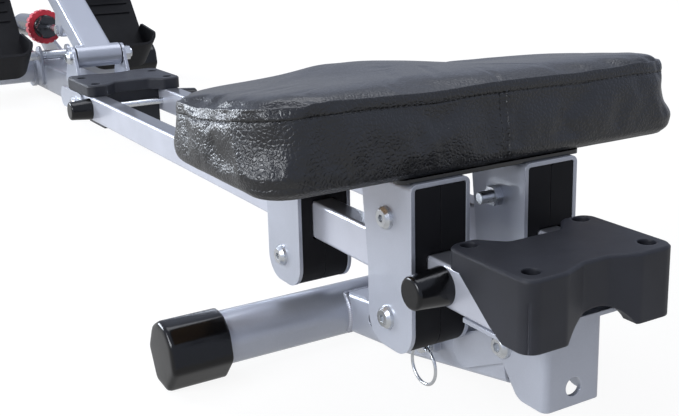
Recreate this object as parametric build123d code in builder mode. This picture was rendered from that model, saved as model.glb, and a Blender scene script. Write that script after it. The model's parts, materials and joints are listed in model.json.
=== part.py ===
from build123d import *
import math
import os

os.makedirs("parts", exist_ok=True)

# A twin-rail hydraulic rower. X runs along the machine with the pedals at the minus end,
# Y runs across it and Z is up. The origin is on the floor, under the machine's middle.
# The rails slope, so most pieces are drawn in the rails' own frame: x along the rails from
# the rear stops, z up from the rails' underside.

# Fits
RUN_FIT = 0.05
SIDE_FIT = 0.5
SOFT_GAP = 0.3
SEAT_FIT = 0.1
OVERRUN = 6.0

# Rails
TILT = 5.6
RAIL_PITCH = 94.0
RAIL_WIDTH = 20.0
RAIL_HEIGHT = 30.0
RAIL_WALL = 1.5
RAIL_CORNER = 3.0
RAIL_REAR_X = 84.0
RAIL_FRONT_X = -800.0
RAIL_NOSE = 16.0
RAIL_OUT_Y = (RAIL_PITCH + RAIL_WIDTH) / 2
RAIL_IN_Y = (RAIL_PITCH - RAIL_WIDTH) / 2

# Foot tubes and their caps
FOOT_D = 43.0
FOOT_WALL = 2.0
FOOT_CAP_SKIN = 2.5
FOOT_CAP_SOLE = 8.0
FOOT_CAP_LENGTH = 50.0
FOOT_CAP_END = 4.0
FOOT_CAP_CHAMFER = 1.5
FOOT_CAP_SIDES = 10
FOOT_CAP_SOLE_WIDTH = 34.0
REAR_FOOT_HALF = 172.0
FRONT_FOOT_HALF = 172.0
REAR_FOOT_X = -201.5
REAR_FOOT_Z = -79.0
FRONT_FOOT_X = -1130.0

# Stops
STOP_REAR_X = 1.5
STOP_FRONT_X = -727.0
STOP_Z = 14.5
STOP_ROD_D = 8.0
STOP_CAP_D = 22.0
STOP_CAP_BASE_D = 26.6
STOP_CAP_LENGTH = 26.0
STOP_CAP_END = 4.0
STOP_CAP_FILLET = 2.5

# End blocks
BLOCK_TOP = 14.0
BLOCK_HALF_Y = 60.0
BLOCK_DROP = 2.0
BLOCK_CORNER = 10.0
BLOCK_EDGE = 1.5
BLOCK_SCREW_RECESS_D = 12.0
BLOCK_SCREW_RECESS = 8.0
REAR_BLOCK_FRONT_X = 7.0
REAR_BLOCK_REAR_X = 87.0
BAY_EDGE_HALF_Y = 30.0
BAY_FLOOR_HALF_Y = 10.0
BAY_REAR_DEPTH = 8.0
BAY_FRONT_EDGE_HALF_Y = 37.0
BAY_FRONT_FLOOR_HALF_Y = 22.0
BAY_FRONT_DEPTH = 16.0
BAY_RADIUS = 7.0
SKIRT_START_X = 22.0
SKIRT_MID_X = 52.0
SKIRT_MID_Z = 5.5
SKIRT_END_X = 64.0
ARCH_HALF_Y = 28.0
ARCH_RISE = 15.0
BLOCK_CORE_HALF_Y = 34.0
BLOCK_CORE_REAR_X = 75.0
FRONT_BLOCK_FRONT_X = -812.0
FRONT_BLOCK_REAR_X = -717.0
FRONT_BLOCK_PLUG_X = -739.0
FRONT_BLOCK_PLUG_WALL = 3.0
FRONT_BLOCK_BOSS_X = -785.0
BLOCK_SCREW_INSET_REAR = 13.5
BLOCK_SCREW_INSET_FRONT = 8.0

# Small screws
SCREW_D = 5.0
SCREW_HEAD_D = 9.0
SCREW_HEAD_H = 2.6
SCREW_SOCKET_D = 3.4
SCREW_SOCKET_DEPTH = 1.4
SCREW_TIP = 0.8
BOLT_HEAD_TAPERS = (10.0, 42.0)

# Axle bolts with button heads and hexagon nuts
AXLE_D = 8.0
AXLE_HEAD_D = 16.5
AXLE_HEAD_H = 4.6
AXLE_SOCKET_D = 5.6
AXLE_SOCKET_DEPTH = 2.4
NUT_FLATS = 13.0
NUT_H = 6.5
AXLE_TAIL = 3.0
AXLE_LONG_TAIL = 10.0

# Rear bracket
BRACKET_PLATE = 3.0
BRACKET_HALF_Y = 23.7
BRACKET_REAR_X = 62.5
BRACKET_FRONT_X = 8.0
BRACKET_BOTTOM_Z = -59.0
BRACKET_BEND = 5.0
BRACKET_WEB_LENGTH = 40.0
BRACKET_HOLE_D = 13.0
BRACKET_HOLE_Z = -46.0
BRACKET_SHOULDER_Z = -23.0
BRACKET_HEEL_X = 37.0
BRACKET_HEEL_R = 12.0

# Folding leg
LEG_SIZE = 34.0
LEG_WALL = 2.0
LEG_CORNER = 4.0
LEG_PIVOT_X = 21.6
LEG_PIVOT_Z = -27.3
LEG_END_X = 14.0
LEG_END_Z = -41.5
LEG_KINK_X = -110.0
LEG_KINK_Z = -67.0
LEG_EAR = 3.0
LEG_EAR_R = 12.0
LEG_EAR_REACH = 40.0
LEG_BOLT_D = 10.0
LEG_BOLT_HEAD_D = 17.0
LEG_BOLT_HEAD_H = 5.5
LEG_NUT_FLATS = 16.0
LEG_NUT_H = 8.0
LEG_SOCKET_D = 7.0
LEG_SOCKET_DEPTH = 3.0
LEG_TRAVEL = 3.5
LEG_SLOT_HALF_Y = 5.0
LEG_SLOT_LENGTH = 52.0
LEG_HOLE_X = -148.0
LEG_HOLE_Z = -71.0
LEG_HOLE_D = 11.0

# Locking arm, pull pin and its ring
ARM_PLATE = 6.0
ARM_UNDER_Z = -17.0
ARM_TONGUE_FRONT_X = -79.0
ARM_TONGUE_REAR_X = -45.0
ARM_TONGUE_EDGE = 7.0
PIN_X = -62.0
PIN_Z = -58.0
PIN_D = 7.0
PIN_SLOT_FIT = 0.3
PIN_COLLAR_D = 13.0
PIN_COLLAR_H = 6.0
PIN_KNOB_D = 9.0
PIN_KNOB_H = 9.0
RING_MEAN_D = 29.0
RING_WIRE_D = 2.4
PIN_EYE_D = 5.0
PIN_TIP = 7.0
PIN_EYE_Y = -LEG_SIZE / 2 - PIN_COLLAR_H - PIN_KNOB_H / 2
RING_DROP = 0.2
SLOT_STEP_SHARES = (0.0, 0.25, 0.5, 0.75, 1.0)

# Seat carriage
CHANNEL_WIDTH = 47.0
CHANNEL_PLATE = 3.0
CHANNEL_TOP_Z = 79.4
CHANNEL_BOTTOM_Z = -41.0
CHANNEL_REAR_X = -14.3
CHANNEL_LENGTH = 60.0
CHANNEL_WAIST = 52.5
CHANNEL_WAIST_Z = 10.0
CHANNEL_TOE_R = 19.0
CHANNEL_BEND = 5.0
CARRIAGE_PITCH = 153.0
AXLE_SETBACK = 29.0
UPPER_AXLE_Z = 51.4
LOWER_AXLE_Z = -19.0
ROLLER_GAP = 0.1
UPPER_ROLLER_R = UPPER_AXLE_Z - RAIL_HEIGHT - ROLLER_GAP
LOWER_ROLLER_R = -LOWER_AXLE_Z - ROLLER_GAP
ROLLER_WIDTH = 18.0
ROLLER_CROWN = 1.5
ROLLER_HUB_D = 14.0
ROLLER_HUB_STEP = 0.5
ROLLER_POCKET_FIT = 1.0
HOUSING_RAIL_FIT = 1.0
HOUSING_RECESS = 0.4
HOUSING_SEAM = 0.6
SEAT_PLATE = 3.0
SEAT_PLATE_HALF_Y = 76.0
SEAT_PLATE_INSET = 3.0
SEAT_SCREW_SPREAD = 30.0

# Seat
SEAT_HALF_Y = 174.0
SEAT_REAR_X = -13.0
SEAT_DEPTH = 202.0
SEAT_REAR_RISE = 55.0
SEAT_FRONT_RISE = 32.0
SEAT_CROWN = 9.0
SEAT_WAIST = 3.0
SEAT_HEM = 5.0
SEAT_REAR_CORNER = 26.0
SEAT_FRONT_CORNER = 88.0
SEAT_LEVEL_SHARES = (0.0, 0.1, 0.5, 0.84, 1.0)
SEAT_CROWN_SHARES = ((0.93, 0.4), (0.8, 0.8), (0.55, 1.0))
SEAT_CHANNEL = 1.6
SEAT_CHANNEL_DROP = 7.0
BOARD_INSET = 16.0
BOARD_THICK = 10.0

# Front frame
FRAME_SIZE = 40.0
FRAME_WALL = 2.0
FRAME_CORNER = 4.0
FRAME_Z = 5.0
FRAME_REAR_X = FRONT_BLOCK_PLUG_X - FRONT_BLOCK_PLUG_WALL
SIDE_PLATE = 3.0
SIDE_PLATE_FRONT_X = -842.0
SIDE_PLATE_REAR_X = -748.0
SIDE_PLATE_Z = 16.0
SIDE_PLATE_HALF_H = 13.0
SIDE_PLATE_OUT_Y = RAIL_OUT_Y + SIDE_PLATE
FRAME_BOLT_XS = (-782.0, -762.0)
FRAME_BOLT_Z = 14.0

# Lever
LEVER_X = -866.0
LEVER_Z = 60.0
LEVER_LEAN = 62.0
SLEEVE_D = 30.0
SLEEVE_HALF = 30.0
SLEEVE_BORE = 18.0
BUSH_BORE = 12.0
BUSH_FLANGE_D = 24.0
BUSH_FLANGE = 1.5
BUSH_LENGTH = 18.0
LEVER_BOLT_HEAD_D = 19.0
LEVER_BOLT_HEAD_H = 7.0
LEVER_NUT_FLATS = 18.0
LEVER_NUT_H = 9.0
LEVER_SOCKET_D = 8.0
LEVER_SOCKET_DEPTH = 4.0
EAR_PLATE = 4.0
EAR_R = 14.0
EAR_BASE_HALF = 30.0
EAR_OUT_Y = SLEEVE_HALF + BUSH_FLANGE + SIDE_FIT + EAR_PLATE
POST_WIDTH = 40.0
POST_DEPTH = 30.0
POST_WALL = 2.0
POST_CORNER = 4.0
POST_LENGTH = 440.0
BAR_D = 25.4
BAR_HALF = 235.0
BAR_WALL = 2.0
BAR_SETBACK = 22.0
GRIP_D = 35.0
GRIP_LENGTH = 135.0
GRIP_END = 3.0
GRIP_FILLET = 4.0

# Hydraulic cylinder
CLEVIS_X = -1013.0
CLEVIS_Z = 82.0
CLEVIS_PIN_D = 8.0
CLEVIS_EAR = 4.0
CLEVIS_EAR_R = 10.0
CLEVIS_GAP = 0.5
CLEVIS_HEAD_D = 13.0
CLEVIS_HEAD = 3.0
ROD_EYE_D = 22.0
ROD_EYE_WIDTH = 12.0
ROD_D = 11.0
BARREL_D = 36.0
BARREL_WALL = 2.5
BARREL_END = 5.0
BARREL_REAR_GAP = 100.0
BARREL_FRONT_GAP = 8.0
BARREL_BOSS_HALF = 19.5
ANCHOR_X = -1264.0
ANCHOR_Z = 68.0
ANCHOR_EAR_R = 11.0
DIAL_D = 53.0
DIAL_WIDTH = 15.0
DIAL_SETBACK = 5.5
DIAL_FLUTES = 18
DIAL_FLUTE_R = 1.6
GLAND_FLATS = 30.0
GLAND_H = 12.0
PISTON_H = 6.0
PISTON_GAP = 4.0
ANCHOR_ARM = 5.0
ANCHOR_FOOT_R = 28.0
ANCHOR_IN_Y = BARREL_BOSS_HALF + SIDE_FIT

# Pedals
PEDAL_AXLE_X = -1084.0
PEDAL_AXLE_Z = 37.0
PEDAL_AXLE_D = 14.0
PEDAL_IN_Y = 48.0
PEDAL_WIDTH = 92.0
PEDAL_LEAN = 40.0
PEDAL_THICK = 9.0
PEDAL_BELOW = 45.0
PEDAL_ABOVE = 195.0
PEDAL_STANDOFF = 13.0
PEDAL_HUB_R = 11.5
PEDAL_CORNER = 22.0
PEDAL_TREADS = 7
PEDAL_TREAD_PITCH = 18.0
PEDAL_TREAD = 3.0
PEDAL_TREAD_H = 2.0
HEEL_HEIGHT = 52.0
HEEL_WALL = 4.0
HEEL_LENGTH = 62.0
HEEL_TOE_HEIGHT = 16.0
STRAP_ALONG = 125.0
STRAP_WIDTH = 26.0
STRAP_THICK = 2.0
STRAP_RISE = 60.0
STRAP_SIDE_RISE = 16.0
PEDAL_MOUNT_PLATE = 4.0
PEDAL_MOUNT_HALF_X = 14.0
CLIP_D = 22.0
CLIP_H = 3.0

# Worked-out places and planes
SLOPE = math.radians(TILT)
RAIL_RISE = FOOT_D / 2 + FOOT_CAP_SOLE - math.sin(SLOPE) * REAR_FOOT_X - math.cos(SLOPE) * REAR_FOOT_Z
FOOT_HEIGHT = FOOT_D / 2 + FOOT_CAP_SOLE
FRONT_FOOT_Z = (FOOT_HEIGHT - RAIL_RISE - math.sin(SLOPE) * FRONT_FOOT_X) / math.cos(SLOPE)
POST_END_X = -math.sin(math.radians(LEVER_LEAN)) * POST_LENGTH
POST_END_Z = math.cos(math.radians(LEVER_LEAN)) * POST_LENGTH
POST_LIP_X = LEVER_X + POST_END_X - math.cos(math.radians(LEVER_LEAN)) * POST_DEPTH / 2
POST_LIP_Z = LEVER_Z + POST_END_Z - math.sin(math.radians(LEVER_LEAN)) * POST_DEPTH / 2
FRONT_END = math.cos(SLOPE) * POST_LIP_X - math.sin(SLOPE) * POST_LIP_Z
REAR_END = math.cos(SLOPE) * REAR_BLOCK_REAR_X + math.sin(SLOPE) * BLOCK_DROP
RAIL_FRAME = Plane(
    origin=(-(FRONT_END + REAR_END) / 2, 0, RAIL_RISE),
    x_dir=(math.cos(SLOPE), 0, math.sin(SLOPE)),
    z_dir=(-math.sin(SLOPE), 0, math.cos(SLOPE)),
)
ALONG = Axis((0, 0, 0), (math.cos(SLOPE), 0, math.sin(SLOPE)))
UPWARD = Axis((0, 0, 0), (-math.sin(SLOPE), 0, math.cos(SLOPE)))


def plan(z, x=0.0, y=0.0):
    """A plane parallel to the rails' underside, z above it, seen from above."""
    return Plane(
        origin=RAIL_FRAME.from_local_coords((x, y, z)), x_dir=RAIL_FRAME.x_dir, z_dir=RAIL_FRAME.z_dir
    )


def side(y, x=0.0, z=0.0, turn=0.0):
    """An upright plane along the rails at y, its normal to the left, turned up by turn degrees."""
    angle = math.radians(TILT + turn)
    return Plane(
        origin=RAIL_FRAME.from_local_coords((x, y, z)),
        x_dir=(math.cos(angle), 0, math.sin(angle)),
        z_dir=(0, -1, 0),
    )


def cross(x):
    """A plane square across the rails at x, its normal towards the rear."""
    return Plane(origin=RAIL_FRAME.from_local_coords((x, 0, 0)), x_dir=(0, 1, 0), z_dir=RAIL_FRAME.x_dir)


def save(piece, label):
    """Label a finished piece and write it."""
    piece.label = label
    export_step(piece, f"parts/{label}.step")


def screw_points(rear_x, front_x):
    """The four places where an end block is screwed to the rails."""
    return [(x, hand * RAIL_PITCH / 2) for x in (rear_x, front_x) for hand in (-1, 1)]


def swung(x, z, pivot_x, pivot_z, angle):
    """A point turned about a pivot by angle degrees, the top moving to the rear."""
    turn = math.radians(angle)
    along = x - pivot_x
    above = z - pivot_z
    return (
        pivot_x + along * math.cos(turn) + above * math.sin(turn),
        pivot_z - along * math.sin(turn) + above * math.cos(turn),
    )


LEG_SLOPE = math.atan2(LEG_END_Z - LEG_KINK_Z, LEG_END_X - LEG_KINK_X)
REAR_BLOCK_SCREWS = screw_points(
    REAR_BLOCK_REAR_X - BLOCK_SCREW_INSET_REAR, REAR_BLOCK_FRONT_X + BLOCK_SCREW_INSET_FRONT
)
FRONT_BLOCK_SCREWS = screw_points(FRONT_BLOCK_REAR_X - BLOCK_SCREW_INSET_REAR, FRONT_BLOCK_BOSS_X)
BLOCK_FACE_Z = RAIL_HEIGHT + BLOCK_TOP
STOP_CAP_TAPER = math.degrees(math.atan2((STOP_CAP_BASE_D - STOP_CAP_D) / 2, STOP_CAP_LENGTH))


def add_bolt(seat, length, shank_d, head_d, head_h, socket_d, socket_depth):
    """A button-head bolt in the part at hand: its head stands on the seat plane."""
    step = head_h / len(BOLT_HEAD_TAPERS)
    radius = head_d / 2
    for number, taper in enumerate(BOLT_HEAD_TAPERS):
        with BuildSketch(seat.offset(number * step)) as head:
            Circle(radius)
        extrude(head.sketch, amount=step, taper=taper)
        radius -= step * math.tan(math.radians(taper))
    with BuildSketch(seat) as shank:
        Circle(shank_d / 2)
    extrude(shank.sketch, amount=-length)
    with BuildSketch(seat.offset(head_h)) as socket:
        RegularPolygon(socket_d / 2, 6)
    extrude(socket.sketch, amount=-socket_depth, mode=Mode.SUBTRACT)


def add_nut(seat, flats, height, bore_d):
    """A hexagon nut in the part at hand, standing on the seat plane around a bolt's end."""
    with BuildSketch(seat) as nut:
        RegularPolygon(flats / 2, 6, major_radius=False)
        Circle(bore_d / 2 + RUN_FIT, mode=Mode.SUBTRACT)
    extrude(nut.sketch, amount=height)


def add_hull_plate(seat, circles, thickness):
    """A plate in the part at hand, its outline drawn tight round circles given as x, z and radius."""
    with BuildSketch(seat) as plate:
        for x, z, radius in circles:
            with Locations((x, z)):
                Circle(radius)
        make_hull()
    extrude(plate.sketch, amount=thickness)


def cut_across(x, z, radius, half, middle_y=0.0):
    """Cut a round hole through the part at hand along Y, half to each side of middle_y."""
    with BuildSketch(side(middle_y, x, z)) as hole:
        Circle(radius)
    extrude(hole.sketch, amount=half, both=True, mode=Mode.SUBTRACT)


def outward(y, x, z, hand):
    """A side plane at y from the middle whose normal points away from the middle, for round shapes."""
    seat = side(hand * y, x, z)
    return seat if hand < 0 else Plane(origin=seat.origin, x_dir=seat.x_dir, z_dir=(0, 1, 0))


def flank(hand, inner, outer):
    """The y of the side plane from which extruding outer - inner fills that stretch on one hand."""
    return -inner if hand < 0 else outer


# Rails
def make_rail(label, hand):
    with BuildPart() as rail:
        with BuildSketch(cross(RAIL_FRONT_X)):
            with Locations((hand * RAIL_PITCH / 2, RAIL_HEIGHT / 2)):
                RectangleRounded(RAIL_WIDTH, RAIL_HEIGHT, RAIL_CORNER)
                RectangleRounded(
                    RAIL_WIDTH - 2 * RAIL_WALL,
                    RAIL_HEIGHT - 2 * RAIL_WALL,
                    RAIL_CORNER - RAIL_WALL,
                    mode=Mode.SUBTRACT,
                )
        extrude(amount=RAIL_REAR_X - RAIL_FRONT_X)
        with BuildSketch(side(0)):
            with Locations((STOP_REAR_X, STOP_Z), (STOP_FRONT_X, STOP_Z)):
                Circle(STOP_ROD_D / 2 + RUN_FIT)
            with Locations(*[(x, FRAME_BOLT_Z) for x in FRAME_BOLT_XS]):
                Circle(AXLE_D / 2 + RUN_FIT)
            with BuildLine():
                Polyline(
                    (RAIL_FRONT_X - OVERRUN, -OVERRUN),
                    (RAIL_FRONT_X + RAIL_NOSE, -OVERRUN),
                    (RAIL_FRONT_X + RAIL_NOSE, 0),
                    (RAIL_FRONT_X, RAIL_NOSE),
                    (RAIL_FRONT_X - OVERRUN, RAIL_NOSE),
                    close=True,
                )
            make_face()
        extrude(amount=BLOCK_HALF_Y, both=True, mode=Mode.SUBTRACT)
        with BuildSketch(plan(RAIL_HEIGHT - 2 * RAIL_WALL)):
            with Locations(*REAR_BLOCK_SCREWS, *FRONT_BLOCK_SCREWS):
                Circle(SCREW_D / 2 + RUN_FIT)
        extrude(amount=OVERRUN, mode=Mode.SUBTRACT)
    save(rail.part, label)


make_rail("rail_left", -1)
make_rail("rail_right", 1)


# End blocks
def block_corners(front_x, rear_x, front_bay, rear_bay):
    """The outline of an end block: a bay is its depth, half mouth and half floor."""
    front_depth, front_mouth, front_floor = front_bay
    rear_depth, rear_mouth, rear_floor = rear_bay
    half = [
        (front_x + front_depth, front_floor),
        (front_x, front_mouth),
        (front_x, BLOCK_HALF_Y),
        (rear_x, BLOCK_HALF_Y),
        (rear_x, rear_mouth),
        (rear_x - rear_depth, rear_floor),
    ]
    return half + [(x, -y) for x, y in reversed(half)]


def add_block_slab(outline, base_z):
    """The block's body in the part at hand, with rounded corners and bays."""
    with BuildSketch(plan(base_z)) as slab:
        with BuildLine():
            Polyline(*outline, close=True)
        make_face()
        outer = slab.vertices().filter_by(lambda v: abs(v.Y) > BLOCK_HALF_Y - BAY_RADIUS)
        fillet(outer, BLOCK_CORNER)
        inner = slab.vertices().filter_by(lambda v: abs(v.Y) < BLOCK_HALF_Y - 2 * BAY_RADIUS)
        fillet(inner, BAY_RADIUS)
    extrude(slab.sketch, amount=BLOCK_FACE_Z - base_z)


REAR_OUTLINE = block_corners(
    REAR_BLOCK_FRONT_X,
    REAR_BLOCK_REAR_X,
    (BAY_FRONT_DEPTH, BAY_FRONT_EDGE_HALF_Y, BAY_FRONT_FLOOR_HALF_Y),
    (BAY_REAR_DEPTH, BAY_EDGE_HALF_Y, BAY_FLOOR_HALF_Y),
)

with BuildPart() as rear_end_block:
    add_block_slab(REAR_OUTLINE, -BLOCK_DROP)
    chamfer(rear_end_block.faces().sort_by(UPWARD).last.outer_wire().edges(), BLOCK_EDGE)
    with BuildSketch(cross(REAR_BLOCK_FRONT_X - OVERRUN)):
        with Locations((-RAIL_PITCH / 2, 0), (RAIL_PITCH / 2, 0)):
            Rectangle(RAIL_WIDTH + 2 * SEAT_FIT, RAIL_HEIGHT, align=(Align.CENTER, Align.MIN))
            Rectangle(RAIL_WIDTH + 2 * SEAT_FIT, OVERRUN, align=(Align.CENTER, Align.MAX))
    extrude(amount=RAIL_REAR_X + SEAT_FIT - REAR_BLOCK_FRONT_X + OVERRUN, mode=Mode.SUBTRACT)
    with BuildSketch(cross(REAR_BLOCK_FRONT_X - OVERRUN)):
        Rectangle(2 * BLOCK_CORE_HALF_Y, RAIL_HEIGHT, align=(Align.CENTER, Align.MIN))
        Rectangle(2 * BLOCK_CORE_HALF_Y, OVERRUN, align=(Align.CENTER, Align.MAX))
    extrude(amount=BLOCK_CORE_REAR_X - REAR_BLOCK_FRONT_X + OVERRUN, mode=Mode.SUBTRACT)
    with BuildSketch(side(0)):
        with BuildLine():
            Polyline(
                (REAR_BLOCK_FRONT_X - OVERRUN, RAIL_HEIGHT),
                (SKIRT_START_X, RAIL_HEIGHT),
                (SKIRT_MID_X, SKIRT_MID_Z),
                (SKIRT_END_X, -BLOCK_DROP),
                (SKIRT_END_X, -BLOCK_DROP - OVERRUN),
                (REAR_BLOCK_FRONT_X - OVERRUN, -BLOCK_DROP - OVERRUN),
                close=True,
            )
        make_face()
    extrude(amount=BLOCK_HALF_Y + OVERRUN, both=True, mode=Mode.SUBTRACT)
    with BuildSketch(cross(BLOCK_CORE_REAR_X - OVERRUN)):
        with BuildLine():
            ThreePointArc(
                (-ARCH_HALF_Y, -BLOCK_DROP),
                (0, ARCH_RISE - BLOCK_DROP),
                (ARCH_HALF_Y, -BLOCK_DROP),
            )
            Polyline(
                (ARCH_HALF_Y, -BLOCK_DROP),
                (ARCH_HALF_Y, -BLOCK_DROP - OVERRUN),
                (-ARCH_HALF_Y, -BLOCK_DROP - OVERRUN),
                (-ARCH_HALF_Y, -BLOCK_DROP),
            )
        make_face()
    extrude(amount=REAR_BLOCK_REAR_X - BLOCK_CORE_REAR_X + 2 * OVERRUN, mode=Mode.SUBTRACT)
    with BuildSketch(cross(REAR_BLOCK_FRONT_X)):
        with Locations((0, SEAT_FIT)):
            Rectangle(2 * (RAIL_OUT_Y + SEAT_FIT), OVERRUN, align=(Align.CENTER, Align.MAX))
    extrude(amount=BRACKET_REAR_X + SEAT_FIT - REAR_BLOCK_FRONT_X, mode=Mode.SUBTRACT)
    with Locations(*[plan(BLOCK_FACE_Z, x, y) for x, y in REAR_BLOCK_SCREWS]):
        CounterBoreHole(SCREW_D / 2 + RUN_FIT, BLOCK_SCREW_RECESS_D / 2, BLOCK_SCREW_RECESS)
save(rear_end_block.part, "rear_end_block")

FRONT_OUTLINE = block_corners(
    FRONT_BLOCK_FRONT_X,
    FRONT_BLOCK_REAR_X,
    (BAY_REAR_DEPTH, BAY_EDGE_HALF_Y, BAY_FLOOR_HALF_Y),
    (BAY_FRONT_DEPTH, BAY_FRONT_EDGE_HALF_Y, BAY_FRONT_FLOOR_HALF_Y),
)

with BuildPart() as front_end_block:
    add_block_slab(FRONT_OUTLINE, RAIL_HEIGHT)
    chamfer(front_end_block.faces().sort_by(UPWARD).last.outer_wire().edges(), BLOCK_EDGE)
    with BuildSketch(cross(RAIL_FRONT_X)):
        with Locations((0, RAIL_HEIGHT)):
            Rectangle(
                2 * (RAIL_IN_Y - SEAT_FIT),
                RAIL_HEIGHT + FRAME_SIZE / 2 - FRAME_Z,
                align=(Align.CENTER, Align.MAX),
            )
    extrude(amount=FRONT_BLOCK_PLUG_X - RAIL_FRONT_X)
    with BuildSketch(cross(RAIL_FRONT_X - OVERRUN)):
        with Locations((0, FRAME_Z)):
            Rectangle(FRAME_SIZE + 2 * SEAT_FIT, FRAME_SIZE + 2 * SEAT_FIT)
    extrude(amount=FRAME_REAR_X - RAIL_FRONT_X + OVERRUN, mode=Mode.SUBTRACT)
    with BuildSketch(side(0)):
        with Locations(*[(x, FRAME_BOLT_Z) for x in FRAME_BOLT_XS]):
            Circle(AXLE_D / 2 + RUN_FIT)
    extrude(amount=RAIL_IN_Y, both=True, mode=Mode.SUBTRACT)
    with Locations(*[plan(BLOCK_FACE_Z, x, y) for x, y in FRONT_BLOCK_SCREWS]):
        CounterBoreHole(
            SCREW_D / 2 + RUN_FIT, BLOCK_SCREW_RECESS_D / 2, BLOCK_SCREW_RECESS, depth=BLOCK_TOP
        )
save(front_end_block.part, "front_end_block")

with BuildPart() as end_block_screws:
    for x, y in REAR_BLOCK_SCREWS + FRONT_BLOCK_SCREWS:
        add_bolt(
            plan(BLOCK_FACE_Z - BLOCK_SCREW_RECESS, x, y),
            BLOCK_TOP - BLOCK_SCREW_RECESS + RAIL_WALL + SCREW_TIP,
            SCREW_D,
            SCREW_HEAD_D,
            SCREW_HEAD_H,
            SCREW_SOCKET_D,
            SCREW_SOCKET_DEPTH,
        )
save(end_block_screws.part, "end_block_screws")

# Rubber stops on rods through both rails
with BuildPart() as stop_rods:
    with BuildSketch(side(0)):
        with Locations((STOP_REAR_X, STOP_Z), (STOP_FRONT_X, STOP_Z)):
            Circle(STOP_ROD_D / 2)
    extrude(amount=RAIL_OUT_Y + STOP_CAP_LENGTH - STOP_CAP_END, both=True)
save(stop_rods.part, "stop_rods")

with BuildPart() as stop_caps:
    for x in (STOP_REAR_X, STOP_FRONT_X):
        for hand in (-1, 1):
            with BuildSketch(outward(RAIL_OUT_Y, x, STOP_Z, hand)):
                Circle(STOP_CAP_BASE_D / 2)
            extrude(amount=STOP_CAP_LENGTH, taper=STOP_CAP_TAPER)
            with BuildSketch(outward(RAIL_OUT_Y, x, STOP_Z, hand)):
                Circle(STOP_ROD_D / 2 + RUN_FIT)
            extrude(amount=STOP_CAP_LENGTH - STOP_CAP_END, mode=Mode.SUBTRACT)
    rims = stop_caps.edges().group_by(Axis.Y)
    fillet(rims[0] + rims[-1], STOP_CAP_FILLET)
save(stop_caps.part, "stop_caps")

# Rear bracket, its locking arm and the folding leg
with BuildPart() as rear_bracket:
    with BuildSketch(plan(BRACKET_BOTTOM_Z)) as walls:
        with BuildLine():
            Polyline(
                (BRACKET_FRONT_X, -BRACKET_HALF_Y),
                (BRACKET_REAR_X, -BRACKET_HALF_Y),
                (BRACKET_REAR_X, BRACKET_HALF_Y),
                (BRACKET_FRONT_X, BRACKET_HALF_Y),
                close=True,
            )
        make_face()
        fillet(walls.vertices().group_by(Axis.X)[-1], BRACKET_BEND)
        with Locations((BRACKET_REAR_X - BRACKET_PLATE, 0)):
            RectangleRounded(
                2 * (BRACKET_REAR_X - BRACKET_FRONT_X),
                2 * (BRACKET_HALF_Y - BRACKET_PLATE),
                BRACKET_BEND - BRACKET_PLATE,
                align=(Align.MAX, Align.CENTER),
                mode=Mode.SUBTRACT,
            )
    extrude(amount=-BRACKET_BOTTOM_Z)
    with BuildSketch(side(0)):
        with BuildLine():
            Polyline(
                (BRACKET_FRONT_X - OVERRUN, BRACKET_SHOULDER_Z),
                (BRACKET_FRONT_X, BRACKET_SHOULDER_Z),
                (BRACKET_HEEL_X, BRACKET_BOTTOM_Z),
                (BRACKET_HEEL_X, BRACKET_BOTTOM_Z - OVERRUN),
                (BRACKET_FRONT_X - OVERRUN, BRACKET_BOTTOM_Z - OVERRUN),
                close=True,
            )
        make_face()
    extrude(amount=RAIL_OUT_Y, both=True, mode=Mode.SUBTRACT)
    heel = RAIL_FRAME.from_local_coords((BRACKET_HEEL_X, 0, BRACKET_BOTTOM_Z))
    fillet(rear_bracket.edges().filter_by(Axis.Y).sort_by_distance(heel)[:2], BRACKET_HEEL_R)
    with BuildSketch(plan(-BRACKET_PLATE)):
        with Locations((BRACKET_REAR_X, 0)):
            Rectangle(BRACKET_WEB_LENGTH, 2 * RAIL_OUT_Y, align=(Align.MAX, Align.CENTER))
    extrude(amount=BRACKET_PLATE)
    with BuildSketch(cross(BRACKET_REAR_X)):
        with Locations((0, BRACKET_HOLE_Z)):
            Circle(BRACKET_HOLE_D / 2)
    extrude(amount=-BRACKET_BEND, mode=Mode.SUBTRACT)
    cut_across(LEG_PIVOT_X, LEG_PIVOT_Z, LEG_BOLT_D / 2 + RUN_FIT, RAIL_OUT_Y)
save(rear_bracket.part, "rear_bracket")

with BuildPart() as locking_arm:
    with BuildSketch(side(ARM_PLATE / 2)):
        with BuildLine():
            Polyline(
                (BRACKET_REAR_X - BRACKET_PLATE, -BRACKET_PLATE),
                (ARM_TONGUE_FRONT_X, -BRACKET_PLATE),
                (ARM_TONGUE_FRONT_X, PIN_Z - ARM_TONGUE_EDGE),
                (ARM_TONGUE_REAR_X, PIN_Z - ARM_TONGUE_EDGE),
                (ARM_TONGUE_REAR_X, ARM_UNDER_Z),
                (BRACKET_REAR_X - BRACKET_PLATE, ARM_UNDER_Z),
                close=True,
            )
        make_face()
    extrude(amount=ARM_PLATE)
    toes = locking_arm.edges().filter_by(Axis.Y).sort_by(UPWARD)[:2]
    fillet(toes, ARM_TONGUE_EDGE)
    for share in SLOT_STEP_SHARES:
        arc_x, arc_z = swung(PIN_X, PIN_Z, LEG_PIVOT_X, LEG_PIVOT_Z, LEG_TRAVEL * share)
        cut_across(arc_x, arc_z, PIN_D / 2 + PIN_SLOT_FIT, ARM_PLATE)
save(locking_arm.part, "locking_arm")

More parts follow.
